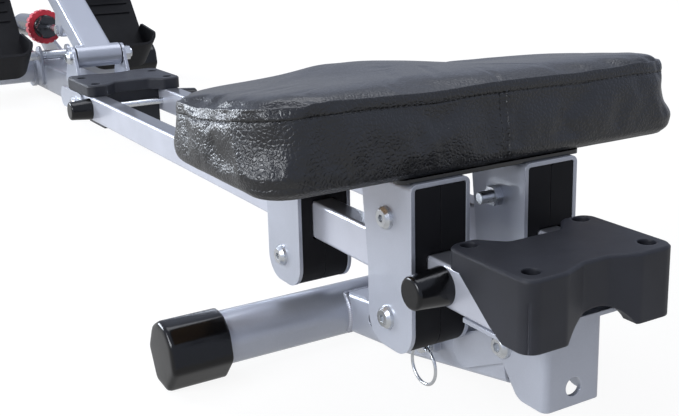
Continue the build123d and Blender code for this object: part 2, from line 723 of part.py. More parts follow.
with BuildPart() as rear_leg:
    with BuildLine(side(0)) as leg_run:
        Polyline((LEG_END_X, LEG_END_Z), (LEG_KINK_X, LEG_KINK_Z), (REAR_FOOT_X, REAR_FOOT_Z))
    with BuildSketch(Plane(origin=leg_run.line @ 0, x_dir=(0, 1, 0), z_dir=leg_run.line % 0)):
        RectangleRounded(LEG_SIZE, LEG_SIZE, LEG_CORNER)
        RectangleRounded(
            LEG_SIZE - 2 * LEG_WALL, LEG_SIZE - 2 * LEG_WALL, LEG_CORNER - LEG_WALL, mode=Mode.SUBTRACT
        )
    sweep(transition=Transition.RIGHT)
    reach_x = LEG_END_X - LEG_EAR_REACH * math.cos(LEG_SLOPE)
    reach_z = LEG_END_Z - LEG_EAR_REACH * math.sin(LEG_SLOPE)
    for hand in (-1, 1):
        add_hull_plate(
            side(flank(hand, LEG_SIZE / 2, LEG_SIZE / 2 + LEG_EAR)),
            [(LEG_PIVOT_X, LEG_PIVOT_Z, LEG_EAR_R), (reach_x, reach_z, LEG_EAR_R)],
            LEG_EAR,
        )
        cut_across(PIN_X, PIN_Z, PIN_D / 2 + RUN_FIT, LEG_SIZE)
    cut_across(LEG_PIVOT_X, LEG_PIVOT_Z, LEG_BOLT_D / 2 + RUN_FIT, LEG_SIZE)
    cut_across(REAR_FOOT_X, REAR_FOOT_Z, FOOT_D / 2 + RUN_FIT, LEG_SIZE)
    cut_across(LEG_HOLE_X, LEG_HOLE_Z, LEG_HOLE_D / 2, LEG_SIZE)
    with BuildSketch(plan(REAR_FOOT_Z - FOOT_D)):
        with Locations((PIN_X, 0)):
            Rectangle(LEG_SLOT_LENGTH, 2 * LEG_SLOT_HALF_Y)
    extrude(amount=-REAR_FOOT_Z + FOOT_D, mode=Mode.SUBTRACT)
    with BuildSketch(side(-LEG_SIZE / 2, PIN_X, PIN_Z)):
        Circle(PIN_COLLAR_D / 2)
        Circle(PIN_D / 2 + RUN_FIT, mode=Mode.SUBTRACT)
    extrude(amount=PIN_COLLAR_H)
save(rear_leg.part, "rear_leg")

with BuildPart() as pull_pin:
    with BuildSketch(side(PIN_TIP, PIN_X, PIN_Z)):
        Circle(PIN_D / 2)
    extrude(amount=PIN_TIP + LEG_SIZE / 2 + PIN_COLLAR_H + PIN_KNOB_H)
    with BuildSketch(side(-LEG_SIZE / 2 - PIN_COLLAR_H - RUN_FIT, PIN_X, PIN_Z)):
        Circle(PIN_KNOB_D / 2)
    extrude(amount=PIN_KNOB_H)
    chamfer(pull_pin.faces().sort_by(Axis.Y).first.edges(), SCREW_TIP)
    with BuildSketch(cross(PIN_X)):
        with Locations((PIN_EYE_Y, PIN_Z)):
            Circle(PIN_EYE_D / 2)
    extrude(amount=PIN_KNOB_D, both=True, mode=Mode.SUBTRACT)
save(pull_pin.part, "pull_pin")

with BuildPart() as pull_ring:
    with BuildSketch(cross(PIN_X)):
        with Locations((PIN_EYE_Y, PIN_Z - RING_DROP)):
            Circle(RING_WIRE_D / 2)
    ring_centre = RAIL_FRAME.from_local_coords((PIN_X, PIN_EYE_Y, PIN_Z - RING_DROP - RING_MEAN_D / 2))
    revolve(axis=Axis(ring_centre, (0, 1, 0)), revolution_arc=360)
save(pull_ring.part, "pull_ring")


# Foot tubes and caps
def make_foot_tube(label, x, z, half):
    with BuildPart() as tube:
        with BuildSketch(side(0, x, z)):
            Circle(FOOT_D / 2)
            Circle(FOOT_D / 2 - FOOT_WALL, mode=Mode.SUBTRACT)
        extrude(amount=half, both=True)
    save(tube.part, label)


def make_foot_cap(label, x, z, half, hand):
    inner = half + FOOT_CAP_END - FOOT_CAP_LENGTH
    with BuildPart() as cap:
        with BuildSketch(side(flank(hand, inner, half + FOOT_CAP_END), x, z, -TILT)):
            RegularPolygon(FOOT_D / 2 + FOOT_CAP_SKIN, FOOT_CAP_SIDES, major_radius=False)
            Rectangle(FOOT_CAP_SOLE_WIDTH, FOOT_HEIGHT, align=(Align.CENTER, Align.MAX))
        extrude(amount=FOOT_CAP_LENGTH)
        ends = cap.faces().sort_by(Axis.Y)
        chamfer((ends.first if hand < 0 else ends.last).edges(), FOOT_CAP_CHAMFER)
        cut_across(x, z, FOOT_D / 2 + RUN_FIT, half)
    save(cap.part, label)


make_foot_tube("rear_foot_tube", REAR_FOOT_X, REAR_FOOT_Z, REAR_FOOT_HALF)
make_foot_tube("front_foot_tube", FRONT_FOOT_X, FRONT_FOOT_Z, FRONT_FOOT_HALF)
for word, hand in (("left", -1), ("right", 1)):
    make_foot_cap(f"rear_foot_cap_{word}", REAR_FOOT_X, REAR_FOOT_Z, REAR_FOOT_HALF, hand)
    make_foot_cap(f"front_foot_cap_{word}", FRONT_FOOT_X, FRONT_FOOT_Z, FRONT_FOOT_HALF, hand)


# Bolts with nuts
def make_cross_bolt(label, x, z, half, shank_d, head, socket, nut):
    """A bolt along Y through the machine with its nut as a second solid; sizes come in pairs."""
    nut_flats, nut_h = nut
    with BuildPart() as bolt:
        add_bolt(outward(half, x, z, -1), 2 * half + nut_h + AXLE_TAIL, shank_d, *head, *socket)
        add_nut(outward(half, x, z, 1), nut_flats, nut_h, shank_d)
    save(bolt.part, label)


make_cross_bolt(
    "leg_pivot_bolt",
    LEG_PIVOT_X,
    LEG_PIVOT_Z,
    BRACKET_HALF_Y,
    LEG_BOLT_D,
    (LEG_BOLT_HEAD_D, LEG_BOLT_HEAD_H),
    (LEG_SOCKET_D, LEG_SOCKET_DEPTH),
    (LEG_NUT_FLATS, LEG_NUT_H),
)
make_cross_bolt(
    "lever_pivot_bolt",
    LEVER_X,
    LEVER_Z,
    EAR_OUT_Y,
    BUSH_BORE,
    (LEVER_BOLT_HEAD_D, LEVER_BOLT_HEAD_H),
    (LEVER_SOCKET_D, LEVER_SOCKET_DEPTH),
    (LEVER_NUT_FLATS, LEVER_NUT_H),
)
with BuildPart() as frame_bolts:
    for x in FRAME_BOLT_XS:
        add_bolt(
            outward(SIDE_PLATE_OUT_Y, x, FRAME_BOLT_Z, -1),
            2 * SIDE_PLATE_OUT_Y + NUT_H + AXLE_TAIL,
            AXLE_D,
            AXLE_HEAD_D,
            AXLE_HEAD_H,
            AXLE_SOCKET_D,
            AXLE_SOCKET_DEPTH,
        )
        add_nut(outward(SIDE_PLATE_OUT_Y, x, FRAME_BOLT_Z, 1), NUT_FLATS, NUT_H, AXLE_D)
save(frame_bolts.part, "frame_bolts")

# Front frame with the pedals' mount, side plates, lever bracket and cylinder anchor
with BuildPart() as front_frame:
    with BuildSketch(cross(FRONT_FOOT_X)):
        with Locations((0, FRAME_Z)):
            RectangleRounded(FRAME_SIZE, FRAME_SIZE, FRAME_CORNER)
            RectangleRounded(
                FRAME_SIZE - 2 * FRAME_WALL,
                FRAME_SIZE - 2 * FRAME_WALL,
                FRAME_CORNER - FRAME_WALL,
                mode=Mode.SUBTRACT,
            )
    extrude(amount=FRAME_REAR_X - FRONT_FOOT_X)
    for hand in (-1, 1):
        add_hull_plate(
            side(flank(hand, FRAME_SIZE / 2, FRAME_SIZE / 2 + PEDAL_MOUNT_PLATE)),
            [
                (PEDAL_AXLE_X, PEDAL_AXLE_Z, PEDAL_MOUNT_HALF_X),
                (PEDAL_AXLE_X, FRAME_Z, PEDAL_MOUNT_HALF_X),
            ],
            PEDAL_MOUNT_PLATE,
        )
    cut_across(PEDAL_AXLE_X, PEDAL_AXLE_Z, PEDAL_AXLE_D / 2 + RUN_FIT, FRAME_SIZE)
    cut_across(FRONT_FOOT_X, FRONT_FOOT_Z, FOOT_D / 2 + RUN_FIT, FRAME_SIZE)
    for x in FRAME_BOLT_XS:
        cut_across(x, FRAME_BOLT_Z, AXLE_D / 2 + RUN_FIT, FRAME_SIZE)
save(front_frame.part, "front_frame")

with BuildPart() as front_side_plates:
    for hand in (-1, 1):
        with BuildSketch(side(flank(hand, RAIL_OUT_Y, SIDE_PLATE_OUT_Y))):
            with Locations(((SIDE_PLATE_FRONT_X + SIDE_PLATE_REAR_X) / 2, SIDE_PLATE_Z)):
                SlotOverall(SIDE_PLATE_REAR_X - SIDE_PLATE_FRONT_X, 2 * SIDE_PLATE_HALF_H)
            with Locations(*[(x, FRAME_BOLT_Z) for x in FRAME_BOLT_XS]):
                Circle(AXLE_D / 2 + RUN_FIT, mode=Mode.SUBTRACT)
        extrude(amount=SIDE_PLATE)
save(front_side_plates.part, "front_side_plates")

with BuildPart() as lever_bracket:
    with BuildSketch(plan(FRAME_Z + FRAME_SIZE / 2)):
        with Locations((LEVER_X, 0)):
            Rectangle(2 * EAR_BASE_HALF, 2 * EAR_OUT_Y)
    extrude(amount=EAR_PLATE)
    for hand in (-1, 1):
        with BuildSketch(side(flank(hand, EAR_OUT_Y - EAR_PLATE, EAR_OUT_Y))):
            with Locations((LEVER_X, LEVER_Z)):
                Circle(EAR_R)
            with Locations((LEVER_X, FRAME_Z + FRAME_SIZE / 2)):
                Rectangle(2 * EAR_BASE_HALF, EAR_PLATE, align=(Align.CENTER, Align.MIN))
            make_hull()
        extrude(amount=EAR_PLATE)
    cut_across(LEVER_X, LEVER_Z, BUSH_BORE / 2 + RUN_FIT, EAR_OUT_Y + OVERRUN)
save(lever_bracket.part, "lever_bracket")

with BuildPart() as cylinder_anchor:
    for hand in (-1, 1):
        add_hull_plate(
            side(flank(hand, ANCHOR_IN_Y, ANCHOR_IN_Y + ANCHOR_ARM)),
            [(ANCHOR_X, ANCHOR_Z, ANCHOR_EAR_R), (FRONT_FOOT_X, FRONT_FOOT_Z, ANCHOR_FOOT_R)],
            ANCHOR_ARM,
        )
    cut_across(FRONT_FOOT_X, FRONT_FOOT_Z, FOOT_D / 2 + RUN_FIT, RAIL_OUT_Y)
    cut_across(ANCHOR_X, ANCHOR_Z, CLEVIS_PIN_D / 2 + RUN_FIT, RAIL_OUT_Y)
    with BuildSketch(side(0, ANCHOR_X, ANCHOR_Z)):
        Circle(CLEVIS_PIN_D / 2)
    extrude(amount=ANCHOR_IN_Y + ANCHOR_ARM, both=True)
    for hand in (-1, 1):
        with BuildSketch(outward(ANCHOR_IN_Y + ANCHOR_ARM, ANCHOR_X, ANCHOR_Z, hand)):
            Circle(CLEVIS_HEAD_D / 2)
        extrude(amount=CLEVIS_HEAD)
save(cylinder_anchor.part, "cylinder_anchor")


# Seat carriage
CARRIAGE_BACKS = (("rear", CHANNEL_REAR_X), ("front", CHANNEL_REAR_X - CARRIAGE_PITCH))
HANDS = (("left", -1), ("right", 1))
AXLE_ZS = (("upper", UPPER_AXLE_Z), ("lower", LOWER_AXLE_Z))
HOUSING_HALF_Y = CHANNEL_WIDTH / 2 - CHANNEL_PLATE - SEAT_FIT
POCKET_HALF_Y = ROLLER_WIDTH / 2 + ROLLER_HUB_STEP + SIDE_FIT


def channel_face(back_x, inset=0.0):
    """The side outline of a seat channel, drawn in by inset: narrow at the waist, round at the toe."""
    with BuildSketch() as outline:
        with BuildLine():
            Polyline(
                (back_x, CHANNEL_TOP_Z),
                (back_x, CHANNEL_BOTTOM_Z),
                (back_x - CHANNEL_WAIST, CHANNEL_BOTTOM_Z),
                (back_x - CHANNEL_WAIST, CHANNEL_WAIST_Z),
                (back_x - CHANNEL_LENGTH, CHANNEL_TOP_Z),
                close=True,
            )
        make_face()
        fillet(outline.vertices().group_by(Axis.Y)[0], CHANNEL_TOE_R)
        if inset:
            offset(amount=-inset, kind=Kind.INTERSECTION, mode=Mode.REPLACE)
    return outline.sketch


def make_channel(label, back_x, hand):
    with BuildPart() as channel:
        with BuildSketch(cross(back_x)) as section:
            with Locations((hand * RAIL_PITCH / 2, CHANNEL_TOP_Z)):
                Rectangle(
                    CHANNEL_WIDTH, CHANNEL_TOP_Z - CHANNEL_BOTTOM_Z, align=(Align.CENTER, Align.MAX)
                )
            fillet(section.vertices().group_by(Axis.Y)[-1], CHANNEL_BEND)
            with Locations((hand * RAIL_PITCH / 2, CHANNEL_TOP_Z - CHANNEL_PLATE)):
                RectangleRounded(
                    CHANNEL_WIDTH - 2 * CHANNEL_PLATE,
                    CHANNEL_TOP_Z - CHANNEL_BOTTOM_Z + OVERRUN,
                    CHANNEL_BEND - CHANNEL_PLATE,
                    align=(Align.CENTER, Align.MAX),
                    mode=Mode.SUBTRACT,
                )
        extrude(amount=-CHANNEL_LENGTH)
        with BuildSketch(side(0)):
            add(channel_face(back_x))
        extrude(amount=RAIL_PITCH, both=True, mode=Mode.INTERSECT)
        for _, axle_z in AXLE_ZS:
            cut_across(back_x - AXLE_SETBACK, axle_z, AXLE_D / 2 + RUN_FIT, RAIL_PITCH)
    save(channel.part, label)


def make_housing(label, back_x, hand):
    middle = hand * RAIL_PITCH / 2
    axle_x = back_x - AXLE_SETBACK
    with BuildPart() as housing:
        with BuildSketch(side(middle)):
            add(channel_face(back_x, HOUSING_RECESS))
        extrude(amount=HOUSING_HALF_Y, both=True)
        with BuildSketch(side(middle)):
            add(channel_face(back_x))
            add(channel_face(back_x, HOUSING_RECESS + HOUSING_SEAM), mode=Mode.SUBTRACT)
        extrude(amount=HOUSING_SEAM / 2, both=True, mode=Mode.SUBTRACT)
        with BuildSketch(cross(back_x)):
            with Locations((middle, CHANNEL_TOP_Z - CHANNEL_PLATE - SEAT_FIT)):
                Rectangle(CHANNEL_WIDTH, 2 * CHANNEL_PLATE, align=(Align.CENTER, Align.MIN))
        extrude(amount=-CHANNEL_LENGTH, mode=Mode.SUBTRACT)
        ridge = housing.faces().sort_by(UPWARD).last.edges().filter_by(ALONG)
        chamfer(ridge, CHANNEL_BEND - CHANNEL_PLATE)
        with BuildSketch(cross(back_x)):
            with Locations((middle, RAIL_HEIGHT / 2)):
                RectangleRounded(
                    RAIL_WIDTH + 2 * HOUSING_RAIL_FIT,
                    RAIL_HEIGHT + 2 * HOUSING_RAIL_FIT,
                    RAIL_CORNER,
                )
        extrude(amount=-CHANNEL_LENGTH, mode=Mode.SUBTRACT)
        for axle_z, radius in ((UPPER_AXLE_Z, UPPER_ROLLER_R), (LOWER_AXLE_Z, LOWER_ROLLER_R)):
            cut_across(axle_x, axle_z, radius + ROLLER_POCKET_FIT, POCKET_HALF_Y, middle)
            cut_across(axle_x, axle_z, AXLE_D / 2 + RUN_FIT, CHANNEL_WIDTH, middle)
    save(housing.part, label)


def make_roller(label, back_x, axle_z, radius, hand):
    seat = side(hand * RAIL_PITCH / 2, back_x - AXLE_SETBACK, axle_z)
    with BuildPart() as roller:
        with BuildSketch(seat):
            Circle(radius)
        extrude(amount=ROLLER_WIDTH / 2, both=True)
        fillet(roller.edges(), ROLLER_CROWN)
        with BuildSketch(seat):
            Circle(ROLLER_HUB_D / 2)
        extrude(amount=ROLLER_WIDTH / 2 + ROLLER_HUB_STEP, both=True)
        with BuildSketch(seat):
            Circle(AXLE_D / 2 + RUN_FIT)
        extrude(amount=ROLLER_WIDTH, both=True, mode=Mode.SUBTRACT)
    save(roller.part, label)


for end, back_x in CARRIAGE_BACKS:
    for word, hand in HANDS:
        make_channel(f"channel_{end}_{word}", back_x, hand)
        make_housing(f"roller_housing_{end}_{word}", back_x, hand)
        make_roller(f"roller_upper_{end}_{word}", back_x, UPPER_AXLE_Z, UPPER_ROLLER_R, hand)
        make_roller(f"roller_lower_{end}_{word}", back_x, LOWER_AXLE_Z, LOWER_ROLLER_R, hand)

with BuildPart() as roller_axles:
    for _, back_x in CARRIAGE_BACKS:
        for _, hand in HANDS:
            for _, axle_z in AXLE_ZS:
                head_seat = outward((RAIL_PITCH + CHANNEL_WIDTH) / 2, back_x - AXLE_SETBACK, axle_z, hand)
                add_bolt(
                    head_seat,
                    CHANNEL_WIDTH + NUT_H + AXLE_LONG_TAIL,
                    AXLE_D,
                    AXLE_HEAD_D,
                    AXLE_HEAD_H,
                    AXLE_SOCKET_D,
                    AXLE_SOCKET_DEPTH,
                )
                add_nut(head_seat.offset(-CHANNEL_WIDTH - NUT_H), NUT_FLATS, NUT_H, AXLE_D)
save(roller_axles.part, "roller_axles")

CARRIAGE_LENGTH = CARRIAGE_PITCH + CHANNEL_LENGTH
CARRIAGE_MIDDLE_X = CHANNEL_REAR_X - CARRIAGE_LENGTH / 2
SEAT_SCREWS = [
    (CARRIAGE_MIDDLE_X + reach * SEAT_SCREW_SPREAD, hand * RAIL_PITCH / 2)
    for reach in (-1, 1)
    for _, hand in HANDS
]

with BuildPart() as seat_plate:
    with BuildSketch(plan(CHANNEL_TOP_Z)):
        with Locations((CARRIAGE_MIDDLE_X, 0)):
            RectangleRounded(
                CARRIAGE_LENGTH - 2 * SEAT_PLATE_INSET, 2 * SEAT_PLATE_HALF_Y, CHANNEL_BEND
            )
        with Locations(*SEAT_SCREWS):
            Circle(SCREW_D / 2 + RUN_FIT, mode=Mode.SUBTRACT)
    extrude(amount=SEAT_PLATE)
save(seat_plate.part, "seat_plate")

# Seat: every level is the same outline, drawn in by a little
SEAT_BASE_Z = CHANNEL_TOP_Z + SEAT_PLATE
SEAT_MIDDLE_X = SEAT_REAR_X - SEAT_DEPTH / 2


def seat_outline(inset=0.0):
    """The seat seen from above, about its own middle: round front corners, smaller rear ones."""
    shrink = 1 - inset / SEAT_HALF_Y
    with BuildSketch() as outline:
        Rectangle(SEAT_DEPTH * shrink, 2 * SEAT_HALF_Y * shrink)
        rims = outline.vertices().group_by(Axis.X)
        fillet(rims[0], SEAT_FRONT_CORNER * shrink)
        rims = outline.vertices().group_by(Axis.X)
        fillet(rims[-1], SEAT_REAR_CORNER * shrink)
    return outline.sketch


def seat_level(share, lift=0.0):
    """The plane at a share of the seat's height: level at the bottom, sloping forward at the top."""
    rear = SEAT_REAR_RISE * share
    front = SEAT_FRONT_RISE * share
    slope = math.atan2(rear - front, SEAT_DEPTH) + SLOPE
    return Plane(
        origin=RAIL_FRAME.from_local_coords(
            (SEAT_MIDDLE_X, 0, SEAT_BASE_Z + SOFT_GAP + (rear + front) / 2 + lift)
        ),
        x_dir=(math.cos(slope), 0, math.sin(slope)),
        z_dir=(-math.sin(slope), 0, math.cos(slope)),
    )


SEAT_INSETS = (SEAT_HEM, 0.0, SEAT_WAIST, 0.0, SEAT_HEM)

with BuildPart() as seat_cushion:
    for share, inset in zip(SEAT_LEVEL_SHARES, SEAT_INSETS):
        with BuildSketch(seat_level(share)):
            add(seat_outline(inset))
    for width_share, rise_share in SEAT_CROWN_SHARES:
        with BuildSketch(seat_level(1, SEAT_CROWN * rise_share)):
            add(seat_outline(SEAT_HALF_Y * (1 - width_share)))
    loft(ruled=True)
    with BuildSketch(seat_level(1, -SEAT_CHANNEL_DROP)):
        Rectangle(2 * SEAT_DEPTH, 4 * SEAT_HALF_Y)
        add(seat_outline(SEAT_WAIST + SEAT_CHANNEL), mode=Mode.SUBTRACT)
    extrude(amount=SEAT_CHANNEL / 2, both=True, mode=Mode.SUBTRACT)
    with BuildSketch(plan(SEAT_BASE_Z, SEAT_MIDDLE_X)):
        add(seat_outline(BOARD_INSET - SOFT_GAP))
    extrude(amount=BOARD_THICK + SOFT_GAP, mode=Mode.SUBTRACT)
save(seat_cushion.part, "seat_cushion")

with BuildPart() as seat_board:
    with BuildSketch(plan(SEAT_BASE_Z, SEAT_MIDDLE_X)):
        add(seat_outline(BOARD_INSET))
    extrude(amount=BOARD_THICK)
    with BuildSketch(plan(SEAT_BASE_Z)):
        with Locations(*SEAT_SCREWS):
            Circle(SCREW_D / 2 + RUN_FIT)
    extrude(amount=BOARD_THICK - SCREW_TIP, mode=Mode.SUBTRACT)
save(seat_board.part, "seat_board")

with BuildPart() as seat_screws:
    for x, y in SEAT_SCREWS:
        under = plan(CHANNEL_TOP_Z, x, y)
        add_bolt(
            Plane(origin=under.origin, x_dir=under.x_dir, z_dir=-under.z_dir),
            SEAT_PLATE + BOARD_THICK - 2 * SCREW_TIP,
            SCREW_D,
            SCREW_HEAD_D,
            SCREW_HEAD_H,
            SCREW_SOCKET_D,
            SCREW_SOCKET_DEPTH,
        )
save(seat_screws.part, "seat_screws")


# Rowing lever: its own planes have x towards the rower and y along the post
def lever_side(y=0.0, out=0.0, up=0.0):
    """A side plane of the lever at y, its origin out from the post's middle and up along it."""
    start = side(y, LEVER_X, LEVER_Z, LEVER_LEAN)
    return Plane(origin=start.from_local_coords((out, up, 0)), x_dir=start.x_dir, z_dir=start.z_dir)


LEVER_SEAT = lever_side()
CLEVIS_OUT, CLEVIS_UP, _ = LEVER_SEAT.to_local_coords(side(0, CLEVIS_X, CLEVIS_Z).origin)
CLEVIS_IN_Y = ROD_EYE_WIDTH / 2 + CLEVIS_GAP
CLEVIS_OUT_Y = CLEVIS_IN_Y + CLEVIS_EAR
BAR_UP = POST_LENGTH - BAR_SETBACK

with BuildPart() as lever_arm:
    post_seat = Plane(origin=LEVER_SEAT.origin, x_dir=(0, 1, 0), z_dir=LEVER_SEAT.y_dir)
    with BuildSketch(post_seat):
        RectangleRounded(POST_WIDTH, POST_DEPTH, POST_CORNER)
    extrude(amount=POST_LENGTH)
    with BuildSketch(post_seat):
        RectangleRounded(
            POST_WIDTH - 2 * POST_WALL, POST_DEPTH - 2 * POST_WALL, POST_CORNER - POST_WALL
        )
    extrude(amount=POST_LENGTH - POST_WALL, mode=Mode.SUBTRACT)
    for hand in (-1, 1):
        with BuildSketch(lever_side(flank(hand, CLEVIS_IN_Y, CLEVIS_OUT_Y))):
            with Locations((CLEVIS_OUT, CLEVIS_UP)):
                Circle(CLEVIS_EAR_R)
            with Locations((-POST_DEPTH / 2, CLEVIS_UP)):
                Rectangle(POST_WALL, 4 * CLEVIS_EAR_R, align=(Align.MIN, Align.CENTER))
            make_hull()
        extrude(amount=CLEVIS_EAR)
    with BuildSketch(LEVER_SEAT):
        Circle(SLEEVE_D / 2)
    extrude(amount=SLEEVE_HALF, both=True)
    cut_across(LEVER_X, LEVER_Z, SLEEVE_BORE / 2, SLEEVE_HALF)
    cut_across(CLEVIS_X, CLEVIS_Z, CLEVIS_PIN_D / 2 + RUN_FIT, CLEVIS_OUT_Y + OVERRUN)
    with BuildSketch(lever_side(0, 0, BAR_UP)):
        Circle(BAR_D / 2 + RUN_FIT)
    extrude(amount=POST_WIDTH, both=True, mode=Mode.SUBTRACT)
save(lever_arm.part, "lever_arm")

with BuildPart() as lever_bushes:
    for hand in (-1, 1):
        seat = outward(SLEEVE_HALF, LEVER_X, LEVER_Z, hand)
        with BuildSketch(seat):
            Circle(BUSH_FLANGE_D / 2)
        extrude(amount=BUSH_FLANGE)
        with BuildSketch(seat):
            Circle(SLEEVE_BORE / 2 - RUN_FIT)
        extrude(amount=-BUSH_LENGTH)
    cut_across(LEVER_X, LEVER_Z, BUSH_BORE / 2 + RUN_FIT, EAR_OUT_Y)
save(lever_bushes.part, "lever_bushes")

with BuildPart() as clevis_stubs:
    for hand in (-1, 1):
        seat = outward(CLEVIS_OUT_Y, CLEVIS_X, CLEVIS_Z, hand)
        with BuildSketch(seat):
            Circle(CLEVIS_HEAD_D / 2)
        extrude(amount=CLEVIS_HEAD)
        with BuildSketch(seat):
            Circle(CLEVIS_PIN_D / 2)
        extrude(amount=-CLEVIS_EAR)
save(clevis_stubs.part, "clevis_stubs")

with BuildPart() as handlebar:
    with BuildSketch(lever_side(0, 0, BAR_UP)):
        Circle(BAR_D / 2)
        Circle(BAR_D / 2 - BAR_WALL, mode=Mode.SUBTRACT)
    extrude(amount=BAR_HALF, both=True)
save(handlebar.part, "handlebar")


def make_grip(label, hand):
    outer = BAR_HALF + GRIP_END
    with BuildPart() as grip:
        with BuildSketch(lever_side(flank(hand, outer - GRIP_LENGTH, outer), 0, BAR_UP)):
            Circle(GRIP_D / 2)
        extrude(amount=GRIP_LENGTH)
        ends = grip.faces().sort_by(Axis.Y)
        fillet((ends.first if hand < 0 else ends.last).edges(), GRIP_FILLET)
        with BuildSketch(lever_side(0, 0, BAR_UP)):
            Circle(BAR_D / 2 + RUN_FIT)
        extrude(amount=BAR_HALF, both=True, mode=Mode.SUBTRACT)
    save(grip.part, label)


for word, hand in HANDS:
    make_grip(f"handle_grip_{word}", hand)

# Hydraulic cylinder, drawn with x from the anchor towards the lever
CYLINDER_LENGTH = math.hypot(CLEVIS_X - ANCHOR_X, CLEVIS_Z - ANCHOR_Z)
CYLINDER_TURN = math.degrees(math.atan2(CLEVIS_Z - ANCHOR_Z, CLEVIS_X - ANCHOR_X))
BARREL_REAR = CYLINDER_LENGTH - BARREL_REAR_GAP
CYLINDER_SEAT = side(0, ANCHOR_X, ANCHOR_Z, CYLINDER_TURN)
CYLINDER_AXIS = Axis(CYLINDER_SEAT.origin, CYLINDER_SEAT.x_dir)
PISTON_REAR = BARREL_FRONT_GAP + BARREL_END + PISTON_GAP + PISTON_H


def round_section(start, end, outer, inner=0.0):
    """Half the section of a round piece in the sketch at hand, from start to end along it."""
    with Locations((start, inner)):
        Rectangle(end - start, outer - inner, align=Align.MIN)


def barrel_cross(x):
    """A plane square across the cylinder at x from its anchor, facing the lever."""
    return Plane(
        origin=CYLINDER_SEAT.from_local_coords((x, 0, 0)), x_dir=(0, 1, 0), z_dir=CYLINDER_SEAT.x_dir
    )


with BuildPart() as cylinder_barrel:
    with BuildSketch(CYLINDER_SEAT):
        round_section(BARREL_FRONT_GAP, BARREL_REAR, BARREL_D / 2)
    revolve(axis=CYLINDER_AXIS)
    chamfer(cylinder_barrel.edges(), BARREL_WALL / 2)
    with BuildSketch(CYLINDER_SEAT):
        Circle(ROD_EYE_D / 2)
    extrude(amount=BARREL_BOSS_HALF, both=True)
    with BuildSketch(barrel_cross(BARREL_REAR)):
        RegularPolygon(GLAND_FLATS / 2, 6, major_radius=False)
    extrude(amount=GLAND_H)
    with BuildSketch(CYLINDER_SEAT):
        round_section(
            BARREL_FRONT_GAP + BARREL_END, BARREL_REAR - BARREL_END, BARREL_D / 2 - BARREL_WALL
        )
        round_section(BARREL_REAR - 2 * BARREL_END, BARREL_REAR + 2 * GLAND_H, ROD_D / 2 + RUN_FIT)
    revolve(axis=CYLINDER_AXIS, mode=Mode.SUBTRACT)
    with BuildSketch(CYLINDER_SEAT):
        Circle(CLEVIS_PIN_D / 2 + RUN_FIT)
    extrude(amount=BARREL_BOSS_HALF, both=True, mode=Mode.SUBTRACT)
save(cylinder_barrel.part, "cylinder_barrel")

with BuildPart() as cylinder_rod:
    with BuildSketch(CYLINDER_SEAT):
        round_section(PISTON_REAR - PISTON_H, PISTON_REAR, BARREL_D / 2 - BARREL_WALL - RUN_FIT)
        round_section(PISTON_REAR - PISTON_H, CYLINDER_LENGTH, ROD_D / 2)
    revolve(axis=CYLINDER_AXIS)
    with BuildSketch(side(0, CLEVIS_X, CLEVIS_Z)):
        Circle(ROD_EYE_D / 2)
    extrude(amount=ROD_EYE_WIDTH / 2, both=True)
    cut_across(CLEVIS_X, CLEVIS_Z, CLEVIS_PIN_D / 2 + RUN_FIT, ROD_EYE_WIDTH)
    with BuildSketch(side(0, CLEVIS_X, CLEVIS_Z)):
        Circle(CLEVIS_PIN_D / 2)
    extrude(amount=ROD_EYE_WIDTH / 2, both=True)
save(cylinder_rod.part, "cylinder_rod")

with BuildPart() as resistance_dial:
    with BuildSketch(barrel_cross(BARREL_REAR - DIAL_SETBACK)):
        Circle(DIAL_D / 2)
        with PolarLocations(DIAL_D / 2, DIAL_FLUTES):
            Circle(DIAL_FLUTE_R, mode=Mode.SUBTRACT)
        Circle(BARREL_D / 2 + RUN_FIT, mode=Mode.SUBTRACT)
    extrude(amount=-DIAL_WIDTH)
save(resistance_dial.part, "resistance_dial")


# Pedals: their own planes have x from the axle to the rower's foot and y up along the plate
def pedal_side(y):
    return side(y, PEDAL_AXLE_X, PEDAL_AXLE_Z, PEDAL_LEAN)


def pedal_face(y, height):
    """A plane parallel to a foot plate, height from the axle, x along Y and y up the plate."""
    start = pedal_side(y)
    return Plane(
        origin=start.from_local_coords((height, 0, 0)), x_dir=(0, 1, 0), z_dir=start.x_dir
    )


PEDAL_TOP = PEDAL_STANDOFF + PEDAL_THICK
PEDAL_MIDDLE_Y = PEDAL_IN_Y + PEDAL_WIDTH / 2


def pedal_outline(inset=0.0):
    """A foot plate seen square on, its middle at the axle's height."""
    with BuildSketch() as outline:
        with Locations((0, -PEDAL_BELOW)):
            RectangleRounded(
                PEDAL_WIDTH, PEDAL_BELOW + PEDAL_ABOVE, PEDAL_CORNER, align=(Align.CENTER, Align.MIN)
            )
        if inset:
            offset(amount=-inset, mode=Mode.REPLACE)
    return outline.sketch


